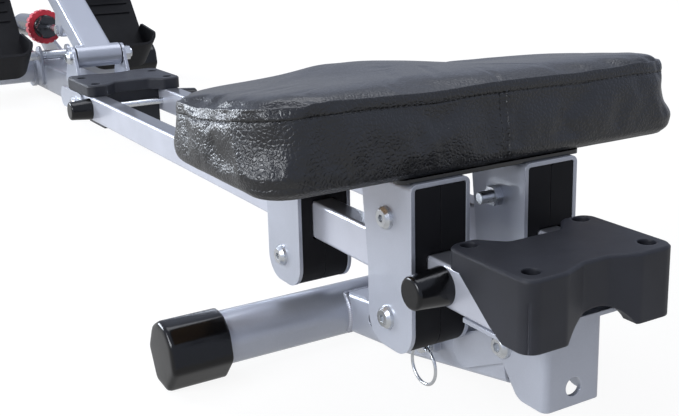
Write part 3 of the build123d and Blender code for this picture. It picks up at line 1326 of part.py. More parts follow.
def make_pedal(label, hand):
    middle = hand * PEDAL_MIDDLE_Y
    with BuildPart() as pedal:
        with BuildSketch(pedal_face(middle, PEDAL_STANDOFF)):
            add(pedal_outline())
        extrude(amount=PEDAL_THICK)
        with BuildSketch(pedal_face(middle, PEDAL_TOP)):
            add(pedal_outline())
            add(pedal_outline(HEEL_WALL), mode=Mode.SUBTRACT)
        extrude(amount=HEEL_HEIGHT)
        with BuildSketch(pedal_side(middle)):
            with BuildLine():
                Polyline(
                    (PEDAL_TOP, HEEL_LENGTH - PEDAL_BELOW),
                    (PEDAL_TOP + HEEL_TOE_HEIGHT, HEEL_LENGTH - PEDAL_BELOW),
                    (PEDAL_TOP + HEEL_HEIGHT, PEDAL_CORNER - PEDAL_BELOW),
                    (PEDAL_TOP + 2 * HEEL_HEIGHT, PEDAL_CORNER - PEDAL_BELOW),
                    (PEDAL_TOP + 2 * HEEL_HEIGHT, 2 * PEDAL_ABOVE),
                    (PEDAL_TOP, 2 * PEDAL_ABOVE),
                    close=True,
                )
            make_face()
        extrude(amount=PEDAL_WIDTH, both=True, mode=Mode.SUBTRACT)
        with BuildSketch(pedal_side(middle)):
            Circle(PEDAL_HUB_R)
            Rectangle(PEDAL_TOP, PEDAL_HUB_R, align=(Align.MIN, Align.CENTER))
        extrude(amount=PEDAL_WIDTH / 2, both=True)
        with BuildSketch(pedal_face(middle, PEDAL_TOP)):
            with Locations((0, (PEDAL_ABOVE - PEDAL_BELOW + HEEL_LENGTH) / 2)):
                with GridLocations(0, PEDAL_TREAD_PITCH, 1, PEDAL_TREADS):
                    Rectangle(PEDAL_WIDTH - 2 * PEDAL_THICK, PEDAL_TREAD)
        extrude(amount=PEDAL_TREAD_H)
        cut_across(PEDAL_AXLE_X, PEDAL_AXLE_Z, PEDAL_AXLE_D / 2 + RUN_FIT, PEDAL_WIDTH, middle)
    save(pedal.part, label)


def make_strap(label, hand):
    start = pedal_side(hand * PEDAL_MIDDLE_Y)
    seat = Plane(
        origin=start.from_local_coords((0, STRAP_ALONG, 0)), x_dir=(0, 1, 0), z_dir=-start.y_dir
    )
    inner = PEDAL_WIDTH / 2 + SEAT_FIT
    outer = inner + STRAP_THICK
    shoulder = PEDAL_TOP + STRAP_SIDE_RISE
    with BuildPart() as strap:
        with BuildSketch(seat):
            with BuildLine():
                Line((-inner, PEDAL_STANDOFF), (-inner, shoulder))
                ThreePointArc((-inner, shoulder), (0, PEDAL_TOP + STRAP_RISE), (inner, shoulder))
                Line((inner, shoulder), (inner, PEDAL_STANDOFF))
                Line((inner, PEDAL_STANDOFF), (outer, PEDAL_STANDOFF))
                Line((outer, PEDAL_STANDOFF), (outer, shoulder))
                ThreePointArc(
                    (outer, shoulder), (0, PEDAL_TOP + STRAP_RISE + STRAP_THICK), (-outer, shoulder)
                )
                Line((-outer, shoulder), (-outer, PEDAL_STANDOFF))
                Line((-outer, PEDAL_STANDOFF), (-inner, PEDAL_STANDOFF))
            make_face()
        extrude(amount=STRAP_WIDTH / 2, both=True)
    save(strap.part, label)


for word, hand in HANDS:
    make_pedal(f"pedal_{word}", hand)
    make_strap(f"pedal_strap_{word}", hand)

with BuildPart() as pedal_axle:
    with BuildSketch(side(0, PEDAL_AXLE_X, PEDAL_AXLE_Z)):
        Circle(PEDAL_AXLE_D / 2)
    extrude(amount=PEDAL_IN_Y + PEDAL_WIDTH + CLIP_H, both=True)
    for hand in (-1, 1):
        for clip_y in (PEDAL_IN_Y - SIDE_FIT - CLIP_H, PEDAL_IN_Y + PEDAL_WIDTH + SIDE_FIT):
            with BuildSketch(outward(clip_y, PEDAL_AXLE_X, PEDAL_AXLE_Z, hand)):
                Circle(CLIP_D / 2)
            extrude(amount=CLIP_H)
save(pedal_axle.part, "pedal_axle")
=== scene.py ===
"""Looks of a twin-rail hydraulic rowing machine: seat, straps, caps, stitches, welds, finishes."""

import json
import math

import bpy
from mathutils import Matrix, Vector, noise
from mathutils.bvhtree import BVHTree
from mathutils.geometry import barycentric_transform


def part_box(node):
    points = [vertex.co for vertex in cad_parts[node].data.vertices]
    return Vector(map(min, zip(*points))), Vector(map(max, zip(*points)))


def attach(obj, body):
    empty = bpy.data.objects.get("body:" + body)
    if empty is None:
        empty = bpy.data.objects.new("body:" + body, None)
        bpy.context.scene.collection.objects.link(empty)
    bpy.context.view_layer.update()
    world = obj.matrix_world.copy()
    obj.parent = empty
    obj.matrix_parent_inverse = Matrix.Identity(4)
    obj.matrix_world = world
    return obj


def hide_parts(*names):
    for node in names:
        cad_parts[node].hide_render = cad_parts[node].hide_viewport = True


bl_info = {
    "name": "Hydraulic rowing machine",
    "version": (1, 0, 0),
    "blender": (4, 5, 0),
    "location": "3D View > Sidebar > Rower",
    "description": "Dresses the rower's frame and makes its seat, straps, stitches and welds",
    "category": "Object",
}

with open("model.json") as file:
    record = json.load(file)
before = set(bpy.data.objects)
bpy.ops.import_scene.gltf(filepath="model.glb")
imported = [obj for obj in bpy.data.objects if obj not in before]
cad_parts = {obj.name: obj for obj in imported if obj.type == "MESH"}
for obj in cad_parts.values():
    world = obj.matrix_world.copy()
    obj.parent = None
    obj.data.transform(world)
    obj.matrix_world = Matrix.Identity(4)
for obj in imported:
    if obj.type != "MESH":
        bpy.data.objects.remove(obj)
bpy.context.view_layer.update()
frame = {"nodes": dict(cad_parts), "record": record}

# The rails slope: x runs along them from the rear stops and z up from their underside
RAIL_TILT = 5.6
RAIL_SLOPE = math.radians(RAIL_TILT)
RAIL_START = Vector((0.5967291, 0.0, 0.1277859))
ALONG = Vector((math.cos(RAIL_SLOPE), 0.0, math.sin(RAIL_SLOPE)))
UPWARD = Vector((-math.sin(RAIL_SLOPE), 0.0, math.cos(RAIL_SLOPE)))

MM = 0.001


def on_rails(x, y, z):
    """A point given along, across and above the rails in millimetres, in the world in metres."""
    return RAIL_START + MM * (x * ALONG + z * UPWARD) + Vector((0.0, MM * y, 0.0))


def world_way(x, y, z=0.0):
    """A direction given along, across and above the rails, in the world."""
    return x * ALONG + Vector((0.0, y, 0.0)) + z * UPWARD


# ---------------------------------------------------------------- node arithmetic


def feed(tree, place, value):
    if isinstance(value, Wire):
        tree.links.new(value.socket, place)
    else:
        place.default_value = value


class Wire:
    """A node socket that can be used in sums: each operator adds a Math node to its tree."""

    def __init__(self, tree, socket):
        self.tree = tree
        self.socket = socket

    def node(self, kind, inputs, output=0, **settings):
        """Adds any other node, with its inputs by name or number, and gives one of its outputs."""
        made = self.tree.nodes.new(kind)
        for name, value in settings.items():
            setattr(made, name, value)
        for name, value in inputs.items():
            feed(self.tree, made.inputs[name], value)
        return Wire(self.tree, made.outputs[output])

    def math(self, operation, *values):
        return self.node("ShaderNodeMath", dict(enumerate(values)), operation=operation)

    def vector(self, operation, *values, output=0):
        return self.node(
            "ShaderNodeVectorMath", dict(enumerate(values)), output=output, operation=operation
        )

    def part(self, letter):
        return self.node("ShaderNodeSeparateXYZ", {0: self}, output="XYZ".index(letter))

    def ramp(self, low, high, to_low=0.0, to_high=1.0):
        """Smoothly carries low to to_low and high to to_high, and holds there beyond them."""
        inputs = {"Value": self, "From Min": low, "From Max": high, "To Min": to_low, "To Max": to_high}
        return self.node("ShaderNodeMapRange", inputs, interpolation_type="SMOOTHSTEP")

    def noise(self, size, detail=2.0, rough=0.5, stretch=None):
        """Soft noise whose patches are about size millimetres across."""
        spot = self if stretch is None else self.vector("MULTIPLY", self, stretch)
        inputs = {"Vector": spot, "Scale": 1.0 / (size * MM), "Detail": detail, "Roughness": rough}
        return self.node("ShaderNodeTexNoise", inputs, output="Fac")

    def cells(self, size, feature="F1", output="Distance"):
        inputs = {"Vector": self, "Scale": 1.0 / (size * MM)}
        return self.node("ShaderNodeTexVoronoi", inputs, output=output, feature=feature)

    def mix(self, first, second):
        """Mixes two colours by this factor."""
        made = self.tree.nodes.new("ShaderNodeMix")
        made.data_type = "RGBA"
        feed(self.tree, made.inputs[0], self)
        feed(self.tree, made.inputs[6], first)
        feed(self.tree, made.inputs[7], second)
        return Wire(self.tree, made.outputs[2])

    def __add__(self, other):
        return self.math("ADD", self, other)

    def __radd__(self, other):
        return self.math("ADD", other, self)

    def __sub__(self, other):
        return self.math("SUBTRACT", self, other)

    def __rsub__(self, other):
        return self.math("SUBTRACT", other, self)

    def __mul__(self, other):
        return self.math("MULTIPLY", self, other)

    def __rmul__(self, other):
        return self.math("MULTIPLY", other, self)


def linear(color):
    """A colour written as screen values from 0 to 1, as the shaders take it."""
    return tuple(c / 12.92 if c <= 0.04045 else ((c + 0.055) / 1.055) ** 2.4 for c in color[:3]) + (1.0,)


def shade(color, factor):
    return tuple(min(1.0, c * factor) for c in color[:3]) + (1.0,)


class Finish:
    """One material being wired: its shader, the place on the piece, and a softened edge normal."""

    def __init__(self, name, round_edge=0.6, **constants):
        self.material = bpy.data.materials.new(name)
        self.material.use_nodes = True
        self.tree = self.material.node_tree
        self.shader = self.tree.nodes["Principled BSDF"]
        for socket, value in constants.items():
            self.shader.inputs[socket.replace("_", " ")].default_value = value
        start = Wire(self.tree, None)
        self.spot = start.node("ShaderNodeTexCoord", {}, output="Object")
        self.own = start.node("ShaderNodeTexCoord", {}, output="UV")
        self.soft = start.node("ShaderNodeBevel", {"Radius": round_edge * MM}, samples=4)
        self.face = start.node("ShaderNodeNewGeometry", {}, output="Normal")

    def edge(self):
        """1 on an edge of the piece, 0 on its flats."""
        along = self.soft.vector("DOT_PRODUCT", self.soft, self.face, output="Value")
        return along.ramp(0.97, 0.85)

    def give(self, **wires):
        for socket, wire in wires.items():
            feed(self.tree, self.shader.inputs[socket.replace("_", " ")], wire)

    def bump(self, height, deep):
        """Feeds a height in millimetres times deep to the shader's normal."""
        self.give(
            Normal=height.node(
                "ShaderNodeBump",
                {"Height": height * (deep * MM), "Distance": 1.0, "Strength": 1.0, "Normal": self.soft},
            )
        )


# ---------------------------------------------------------------- sizes and colours


def length(name, description, default):
    return bpy.props.FloatProperty(
        name=name, description=description, default=default, min=0.0, unit="LENGTH", precision=4
    )


def tint(name, description, default):
    return bpy.props.FloatVectorProperty(
        name=name, description=description, default=default, size=3, min=0.0, max=1.0,
        subtype="COLOR_GAMMA",
    )


class RowerSeat(bpy.types.PropertyGroup):
    half_width: length("Half width", "From the middle to the seat's side", 0.174)
    depth: length("Depth", "From the rear edge to the front edge", 0.202)
    rear_height: length("Rear height", "Of the side band at the rear", 0.055)
    front_height: length("Front height", "Of the side band at the front", 0.032)
    rear_corner: length("Rear corner", "Radius seen from above", 0.026)
    front_corner: length("Front corner", "Radius seen from above", 0.088)
    crown: length("Crown", "How far the top stands above its seam", 0.006)
    lip: length("Lip", "Width of the top panel's folded edge", 0.0075)
    stitch: length("Stitch", "From one stitch to the next", 0.0042)
    swell: length("Swell", "The most that the filling pushes the cover out", 0.003)


class RowerStraps(bpy.types.PropertyGroup):
    width: length("Width", "Of the foot strap's webbing", 0.026)
    thickness: length("Thickness", "Of the foot strap's webbing", 0.002)
    rise: length("Rise", "Of the strap's arch above the foot plate", 0.060)


class RowerMetal(bpy.types.PropertyGroup):
    weld_width: length("Weld width", "Across a weld's bead", 0.006)
    weld_ripple: length("Weld ripple", "From one ripple to the next", 0.0017)
    thread_pitch: length("Thread pitch", "From one turn of a bolt's thread to the next", 0.00125)


class RowerColors(bpy.types.PropertyGroup):
    silver: tint("Silver paint", "Of the welded steel pieces", (0.70, 0.715, 0.755))
    rail: tint("Rail silver", "Of the rails", (0.78, 0.79, 0.83))
    black: tint("Black paint", "Of the seat's plate and the cylinder", (0.09, 0.09, 0.10))
    vinyl: tint("Vinyl", "Of the seat's cover", (0.05, 0.05, 0.062))
    plastic: tint("Black plastic", "Of the roller housings and pedals", (0.10, 0.10, 0.11))
    block: tint("Charcoal plastic", "Of the end blocks", (0.125, 0.13, 0.155))
    rubber: tint("Rubber", "Of the stop caps and foot caps", (0.045, 0.045, 0.05))
    dial: tint("Dial", "Of the resistance dial", (0.88, 0.24, 0.30))
    zinc: tint("Zinc", "Of the bolts, nuts and pins", (0.84, 0.85, 0.86))


class RowerLooks(bpy.types.PropertyGroup):
    seat: bpy.props.PointerProperty(type=RowerSeat)
    straps: bpy.props.PointerProperty(type=RowerStraps)
    metal: bpy.props.PointerProperty(type=RowerMetal)
    colors: bpy.props.PointerProperty(type=RowerColors)


# ---------------------------------------------------------------- finishes


def painted(name, color, gloss, flake, metal=0.38, top_shade=1.0):
    finish = Finish(name, round_edge=0.9, Coat_Weight=0.45, Coat_Roughness=0.07)
    spot = finish.spot
    cloud = spot.noise(55, 3)
    dust = spot.noise(2.4, 4, 0.7)
    sparkle = spot.cells(0.45, output="Color").part("X")
    edge = finish.edge()
    base = linear(color)
    tone = cloud.ramp(0.3, 0.7).mix(shade(base, 0.94), shade(base, 1.05))
    tone = (sparkle.ramp(0.55, 1.0) * flake).mix(tone, shade(base, 1.3))
    # Upward faces take top_shade times the colour: painted shade on the tops, 0.3 for the rails, none at 1
    tone = finish.face.part("Z").ramp(0.8, 0.98).mix(tone, shade(base, top_shade))
    # Edges are painted lighter: a painted highlight along the rims
    tone = (edge * 0.7).mix(tone, shade(base, 1.5))
    finish.give(
        Base_Color=(dust.ramp(0.64, 0.82) * 0.16).mix(tone, shade(base, 0.66)),
        Metallic=metal + 0.10 * cloud,
        Roughness=gloss + 0.08 * spot.noise(18, 3) + 0.05 * dust - 0.08 * edge,
    )
    finish.bump(spot.noise(0.9, 2) + 0.5 * spot.noise(7, 2), 0.015)
    return finish.material


def moulded(name, color, gloss, grain, sheen=0.0, level=0.4, edge_radius=0.8):
    finish = Finish(name, round_edge=edge_radius, Specular_IOR_Level=level)
    spot = finish.spot
    cloud = spot.noise(40, 3)
    pit = spot.cells(grain)
    scuff = spot.noise(1.1, 3, 0.6, (1.0, 1.0, 0.12))
    edge = finish.edge()
    base = linear(color)
    tone = cloud.ramp(0.3, 0.7).mix(shade(base, 0.85), shade(base, 1.12 + sheen))
    # Edges are painted much lighter: a painted highlight along the rims
    tone = (edge * 0.6).mix(tone, shade(base, 2.6))
    finish.give(
        Base_Color=(scuff.ramp(0.66, 0.82) * 0.25).mix(tone, shade(base, 1.7)),
        Roughness=gloss + 0.12 * spot.noise(12, 3) + 0.10 * scuff.ramp(0.6, 0.8) - 0.05 * edge,
    )
    finish.bump(pit + 0.6 * spot.noise(3, 2), 0.03)
    return finish.material


def leathered(name, color):
    finish = Finish(name, round_edge=0.4, Specular_IOR_Level=0.7)
    spot = finish.spot
    bend = spot.node("ShaderNodeTexNoise", {"Vector": spot, "Scale": 170.0, "Detail": 2.0}, output="Color")
    warped = spot.vector("MULTIPLY_ADD", bend, (0.0018, 0.0018, 0.0018), spot)
    pebble = warped.cells(3.0, feature="DISTANCE_TO_EDGE").ramp(0.0, 0.30)
    fine = warped.cells(1.0, feature="DISTANCE_TO_EDGE").ramp(0.0, 0.3)
    stretched = finish.face.part("Z").ramp(0.55, 0.97, 1.0, 0.45)
    cloud = spot.noise(48, 3)
    base = linear(color)
    tone = cloud.ramp(0.3, 0.72).mix(shade(base, 0.82), shade(base, 1.2))
    # The colour darkens into the cracks between the pebbles: painted shade in the grain's hollows
    finish.give(
        Base_Color=(pebble * 0.7 + 0.3).mix(shade(base, 0.35), tone),
        Roughness=0.33 - 0.06 * pebble + 0.08 * spot.noise(26, 3),
    )
    finish.bump((pebble + 0.15 * fine) * stretched + 0.4 * spot.noise(9, 1), 0.22)
    return finish.material


def plated(name, color, gloss):
    finish = Finish(name, round_edge=0.35, Metallic=1.0)
    spot = finish.spot
    stain = spot.noise(6, 3, 0.6)
    edge = finish.edge()
    base = linear(color)
    tone = stain.ramp(0.45, 0.72).mix(base, shade(base, 0.84))
    grime = spot.noise(1.6, 3, 0.6)
    finish.give(
        Base_Color=(grime.ramp(0.6, 0.75) * 0.35).mix(tone, shade(base, 0.55)),
        Roughness=gloss + 0.14 * stain + 0.08 * grime - 0.04 * edge,
    )
    finish.bump(spot.noise(0.5, 2) * 0.6 + stain, 0.02)
    return finish.material


def boarded(name):
    finish = Finish(name, round_edge=0.4)
    spot = finish.spot
    fibre = spot.noise(9, 4, 0.6, (1.0, 0.08, 3.0))
    ply = spot.node("ShaderNodeTexWave", {"Vector": spot, "Scale": 130.0, "Distortion": 0.6}, output="Fac",
                    bands_direction="Z")
    tone = fibre.ramp(0.3, 0.7).mix(linear((0.74, 0.60, 0.42)), linear((0.58, 0.43, 0.27)))
    finish.give(
        Base_Color=(ply.ramp(0.4, 0.6) * 0.3).mix(tone, linear((0.45, 0.31, 0.19))),
        Roughness=0.62 + 0.2 * fibre,
    )
    finish.bump(fibre + 0.5 * ply, 0.08)
    return finish.material


def foamed(name, color):
    finish = Finish(name, round_edge=0.5)
    spot = finish.spot
    cell = spot.cells(0.9)
    worn = spot.noise(22, 3)
    base = linear(color)
    finish.give(
        Base_Color=worn.ramp(0.35, 0.75).mix(shade(base, 0.7), shade(base, 1.5)),
        Roughness=0.72 + 0.2 * cell,
    )
    finish.bump(cell + spot.noise(4, 2), 0.12)
    return finish.material


RIB_PITCH = 0.0016
PICK_PITCH = 0.0011


def woven(name, color):
    """Webbing: v of the UV map is the way along the strap, u across it, both in metres."""
    finish = Finish(name, round_edge=0.3, Sheen_Weight=0.25, Sheen_Roughness=0.5)
    across = finish.own.part("X")
    along = finish.own.part("Y")
    rib = across.math("SINE", across * (math.tau / RIB_PITCH))
    pick = along.math("SINE", along * (math.tau / PICK_PITCH) + 1.6 * rib)
    fuzz = finish.spot.noise(0.35, 2)
    base = linear(color)
    tone = (rib * pick * 0.5 + 0.5).mix(shade(base, 0.5), shade(base, 1.8))
    finish.give(
        Base_Color=(finish.spot.noise(14, 3).ramp(0.4, 0.8) * 0.4).mix(tone, shade(base, 1.5)),
        Roughness=0.68 + 0.2 * fuzz,
    )
    finish.bump(rib * pick + 0.6 * fuzz, 0.12)
    return finish.material


def threaded(name, color):
    finish = Finish(name, round_edge=0.2, Sheen_Weight=0.3)
    spot = finish.spot
    twist = spot.noise(0.3, 2, 0.5, (1.0, 1.0, 3.0))
    base = linear(color)
    finish.give(
        Base_Color=twist.ramp(0.35, 0.65).mix(shade(base, 0.6), shade(base, 1.7)),
        Roughness=0.55 + 0.2 * twist,
    )
    finish.bump(twist, 0.05)
    return finish.material


MATERIALS = {}


def make_finishes():
    colors = bpy.context.scene.rower.colors
    MATERIALS.update(
        silver_paint=painted("silver_paint", colors.silver, 0.30, 0.18),
        # The rails' tops are darkened to 0.3 of their colour: painted shade
        rail_silver=painted("rail_silver", colors.rail, 0.26, 0.10, top_shade=0.3),
        black_paint=painted("black_paint", colors.black, 0.16, 0.05, 0.0),
        black_plastic=moulded("black_plastic", colors.plastic, 0.50, 0.5, level=0.15),
        block_plastic=moulded("block_plastic", colors.block, 0.40, 0.4, 0.15, 0.45, 2.2),
        rubber=moulded("rubber", colors.rubber, 0.12, 1.6),
        vinyl=leathered("vinyl", colors.vinyl),
        board=boarded("board"),
        zinc=plated("zinc", colors.zinc, 0.18),
        chrome_rod=plated("chrome_rod", (0.90, 0.91, 0.93), 0.06),
        roller_plastic=moulded("roller_plastic", (0.88, 0.87, 0.84), 0.35, 0.6),
        dial_plastic=moulded("dial_plastic", colors.dial, 0.22, 0.8),
        foam=foamed("foam", (0.09, 0.09, 0.10)),
        webbing=woven("webbing", (0.13, 0.13, 0.145)),
        thread=threaded("thread", (0.07, 0.07, 0.08)),
        weld=painted("weld", (0.69, 0.70, 0.74), 0.2, 0.1, 0.5),
    )


class ROWER_OT_finishes(bpy.types.Operator):
    """Give every piece of the frame its finish"""

    bl_idname = "rower.finishes"
    bl_label = "Finishes"

    def execute(self, context):
        make_finishes()
        for entry in frame["record"]["subparts"]:
            mesh = frame["nodes"][entry["node"]].data
            mesh.materials.clear()
            mesh.materials.append(MATERIALS[entry["material_slot"]])
        return {"FINISHED"}


# ---------------------------------------------------------------- mesh helpers


def placed(name, data):
    """A new object with this data, in the scene."""
    made = bpy.data.objects.new(name, data)
    bpy.context.scene.collection.objects.link(made)
    return made


def new_piece(name, verts, faces, material, body):
    mesh = bpy.data.meshes.new(name)
    mesh.from_pydata([tuple(v) for v in verts], [], faces)
    mesh.materials.append(MATERIALS[material])
    piece = placed(name, mesh)
    for polygon in mesh.polygons:
        polygon.use_smooth = True
    mesh.update()
    if body:
        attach(piece, body)
    return piece


def skin(rings, count, turned=False):
    """The faces between rings of count points each, which follow one another."""
    faces = []
    for r in range(rings - 1):
        for i in range(count):
            j = (i + 1) % count
            a, b, c, d = r * count + i, r * count + j, (r + 1) * count + j, (r + 1) * count + i
            faces.append((a, d, c, b) if turned else (a, b, c, d))
    return faces


def closed_skin(rings, count, turned=False):
    """The same, closed at both ends round two points that follow the rings."""
    faces = skin(rings, count, turned)
    first = rings * count
    last = first - count
    for i in range(count):
        j = (i + 1) % count
        a, b = (i, j) if turned else (j, i)
        faces.append((first, a, b))
        faces.append((first + 1, last + b, last + a))
    return faces


def settle(piece):
    """Turns a piece with modifiers into a plain mesh, and drops the modifiers."""
    bpy.context.view_layer.update()
    graph = bpy.context.evaluated_depsgraph_get()
    mesh = bpy.data.meshes.new_from_object(piece.evaluated_get(graph), depsgraph=graph)
    piece.modifiers.clear()
    piece.data = mesh


def tree_socket(tree, name, kind, default=None):
    made = tree.interface.new_socket(name, in_out="INPUT", socket_type=kind)
    if default is not None:
        made.default_value = default
    return made.identifier


def line_tree(title, lengths):
    """A new tree that gets lines and the named lengths: its sockets' names, their wires, and the line."""
    tree = bpy.data.node_groups.new(title, "GeometryNodeTree")
    names = {"Geometry": tree_socket(tree, "Geometry", "NodeSocketGeometry")}
    for name, default in lengths:
        names[name] = tree_socket(tree, name, "NodeSocketFloat", default)
    names["Material"] = tree_socket(tree, "Material", "NodeSocketMaterial")
    tree.interface.new_socket("Geometry", in_out="OUTPUT", socket_type="NodeSocketGeometry")
    group = tree.nodes.new("NodeGroupInput")
    asked = {name: Wire(tree, group.outputs[name]) for name in names}
    line = asked["Geometry"]
    line = line.node("GeometryNodeMeshToCurve", {"Mesh": line})
    line = line.node("GeometryNodeResampleCurve", {"Curve": line, "Length": asked["Pitch"]}, mode="LENGTH")
    return tree, names, asked, line


def repeat_along(line, item, turn, asked):
    """Puts the item on each point of the line, and gives that out of the tree."""
    places = {"Points": line, "Instance": item, "Rotation": turn}
    items = line.node("GeometryNodeInstanceOnPoints", places)
    items = line.node("GeometryNodeRealizeInstances", {"Geometry": items})
    items = line.node("GeometryNodeSetMaterial", {"Geometry": items, "Material": asked["Material"]})
    out = line.tree.nodes.new("NodeGroupOutput")
    line.tree.links.new(items.socket, out.inputs[0])


def bead_tree():
    """Small rounded beads one after another along a line: stitches, or the ripples of a weld."""
    lengths = (("Pitch", 0.004), ("Length", 0.003), ("Width", 0.0009), ("Height", 0.0006), ("Slant", 0.0))
    tree, names, asked, line = line_tree("beads_along_line", lengths)
    bead = line.node("GeometryNodeMeshUVSphere", {"Segments": 8, "Rings": 5, "Radius": 0.5})
    size = {"X": asked["Width"], "Y": asked["Height"], "Z": asked["Length"]}
    size = line.node("ShaderNodeCombineXYZ", size)
    bead = line.node("GeometryNodeTransform", {"Geometry": bead, "Scale": size})
    bead = line.node("GeometryNodeSetShadeSmooth", {"Geometry": bead})
    tangent = line.node("GeometryNodeInputTangent", {})
    outward = line.node("GeometryNodeInputNamedAttribute", {"Name": "out"}, data_type="FLOAT_VECTOR")
    axes = {"Primary Axis": tangent, "Secondary Axis": outward}
    turn = line.node("FunctionNodeAxesToRotation", axes, primary_axis="Z", secondary_axis="Y")
    lean = line.node("ShaderNodeCombineXYZ", {"Y": asked["Slant"]})
    turns = {"Rotation": turn, "Rotate By": lean}
    turn = line.node("FunctionNodeRotateRotation", turns, rotation_space="LOCAL")
    repeat_along(line, bead, turn, asked)
    return tree, names


def thread_tree():
    """The turns of a screw thread, as rings one pitch apart along each line."""
    lengths = (("Pitch", 0.00125), ("Radius", 0.004))
    tree, names, asked, line = line_tree("thread_on_line", lengths)
    circle = "GeometryNodeCurvePrimitiveCircle"
    ring = line.node(circle, {"Resolution": 28, "Radius": asked["Radius"]})
    tooth = line.node(circle, {"Resolution": 4, "Radius": asked["Pitch"] * 0.5})
    ring = line.node("GeometryNodeCurveToMesh", {"Curve": ring, "Profile Curve": tooth})
    tangent = line.node("GeometryNodeInputTangent", {})
    turn = line.node("FunctionNodeAlignRotationToVector", {"Vector": tangent}, axis="Z")
    repeat_along(line, ring, turn, asked)
    return tree, names


def along_lines(name, lines, tree, names, values, material, body):
    """Runs a tree on a piece made of open lines; each line is a list of (point, outward)."""
    verts = []
    outs = []
    edges = []
    for line in lines:
        first = len(verts)
        for point, outward in line:
            verts.append(tuple(point))
            outs.extend(outward)
        edges += [(i, i + 1) for i in range(first, len(verts) - 1)]
    mesh = bpy.data.meshes.new(name)
    mesh.from_pydata(verts, edges, [])
    mesh.attributes.new("out", "FLOAT_VECTOR", "POINT").data.foreach_set("vector", outs)
    piece = placed(name, mesh)
    maker = piece.modifiers.new("make", "NODES")
    maker.node_group = tree
    for key, value in values.items():
        maker[names[key]] = value
    maker[names["Material"]] = MATERIALS[material]
    settle(piece)
    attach(piece, body)


# ---------------------------------------------------------------- the seat


SEAT_FLOOR = 82.7
SEAT_MIDDLE = -114.0
BOARD_EDGE = 15.7
BOARD_POCKET = 10.3
SEAM_SIDE = 8.4
SEAM_STITCHES = 3.2
SEAM_MARKS = (0.0, 1.6, 2.5, 3.2, 3.9, 5.2, 6.8, 7.7, 8.1, 8.4, 8.7, 9.1, 9.8, 11.4)
# How many points of a ring lie on each straight side and round each corner
REAR_RIGHT_POINTS = 34
REAR_LEFT_POINTS = 38
SIDE_POINTS = 22
FRONT_POINTS = 38
REAR_CORNER_POINTS = 20
FRONT_CORNER_POINTS = 30
# The top: how much taller the left is, and how its crown and lobes fade towards the lip and the front
LEFT_LEAN = 0.007
CROWN_FADE = 14
LOBE_FADE = 30
LOBE_WIDTH = 26
LOBES_AT = -55
LOBES_DEPTH = 75
TOP_SLOPE_RUN = 70
TOP_MIDDLE_INSIDE = 90
# The side band bulges less at the rear and the front, and swells a little more at the sides
REAR_BULGE = 0.35
SIDE_SWELL = 0.9
SIDE_SWELL_WITHIN = 2.4


def hill(away, width):
    """1 at no distance away, falling smoothly to nothing over about twice the width."""
    return math.exp(-((away / width) ** 2))


class SeatForm:
    """Where each point of the seat's cover lies, from its place round the edge and up the side."""

    def __init__(self, sizes):
        self.half_u = sizes.depth / 2 / MM
        self.half_v = sizes.half_width / MM
        self.rear = sizes.rear_height / MM
        self.front = sizes.front_height / MM
        self.crown = sizes.crown / MM
        self.lip = sizes.lip / MM
        self.rear_corner = sizes.rear_corner / MM
        self.front_corner = sizes.front_corner / MM
        self.rim = self.make_rim(self.rear_corner + LIP_CORNER)

    def make_rim(self, rear):
        """Points and outward directions round the seat, from the rear's middle."""
        a, b, front = self.half_u, self.half_v, self.front_corner
        rim = []

        def run(start, end, count, out):
            for i in range(count):
                t = i / count
                rim.append(((start[0] + t * (end[0] - start[0]), start[1] + t * (end[1] - start[1])), out))

        def arc(u, v, radius, first, count):
            for i in range(count):
                angle = math.radians(first + 90 * i / count)
                out = (math.cos(angle), math.sin(angle))
                rim.append(((u + radius * out[0], v + radius * out[1]), out))

        for v in SEAM_MARKS:
            rim.append(((a, v), (1, 0)))
        run((a, SEAM_MARKS[-1] + 2.5), (a, b - rear), REAR_RIGHT_POINTS, (1, 0))
        arc(a - rear, b - rear, rear, 0, REAR_CORNER_POINTS)
        run((a - rear, b), (front - a, b), SIDE_POINTS, (0, 1))
        arc(front - a, b - front, front, 90, FRONT_CORNER_POINTS)
        run((-a, b - front), (-a, front - b), FRONT_POINTS, (-1, 0))
        arc(front - a, front - b, front, 180, FRONT_CORNER_POINTS)
        run((front - a, -b), (a - rear, -b), SIDE_POINTS, (0, -1))
        arc(a - rear, rear - b, rear, 270, REAR_CORNER_POINTS)
        run((a, rear - b), (a, 0), REAR_LEFT_POINTS, (1, 0))
        return rim

    def height(self, u, v):
        """Of the side band, which is taller at the rear and a little taller at the left."""
        slope = u * (self.rear - self.front) / (2 * self.half_u)
        return (self.rear + self.front) / 2 + slope - LEFT_LEAN * v

    def dome(self, u, v, inside):
        """How far the top stands above its seam plane: high in front of the middle, low at the ends."""
        lift = self.crown * (1 - math.exp(-inside / CROWN_FADE))
        lobes = sum(rise * hill(v - across, LOBE_WIDTH) for across, rise in TOP_LOBES)
        return lift + min(1.0, inside / LOBE_FADE) * lobes * hill(u - LOBES_AT, LOBES_DEPTH)

    def place(self, u, v, up):
        return on_rails(SEAT_MIDDLE + u, v, SEAT_FLOOR + up)


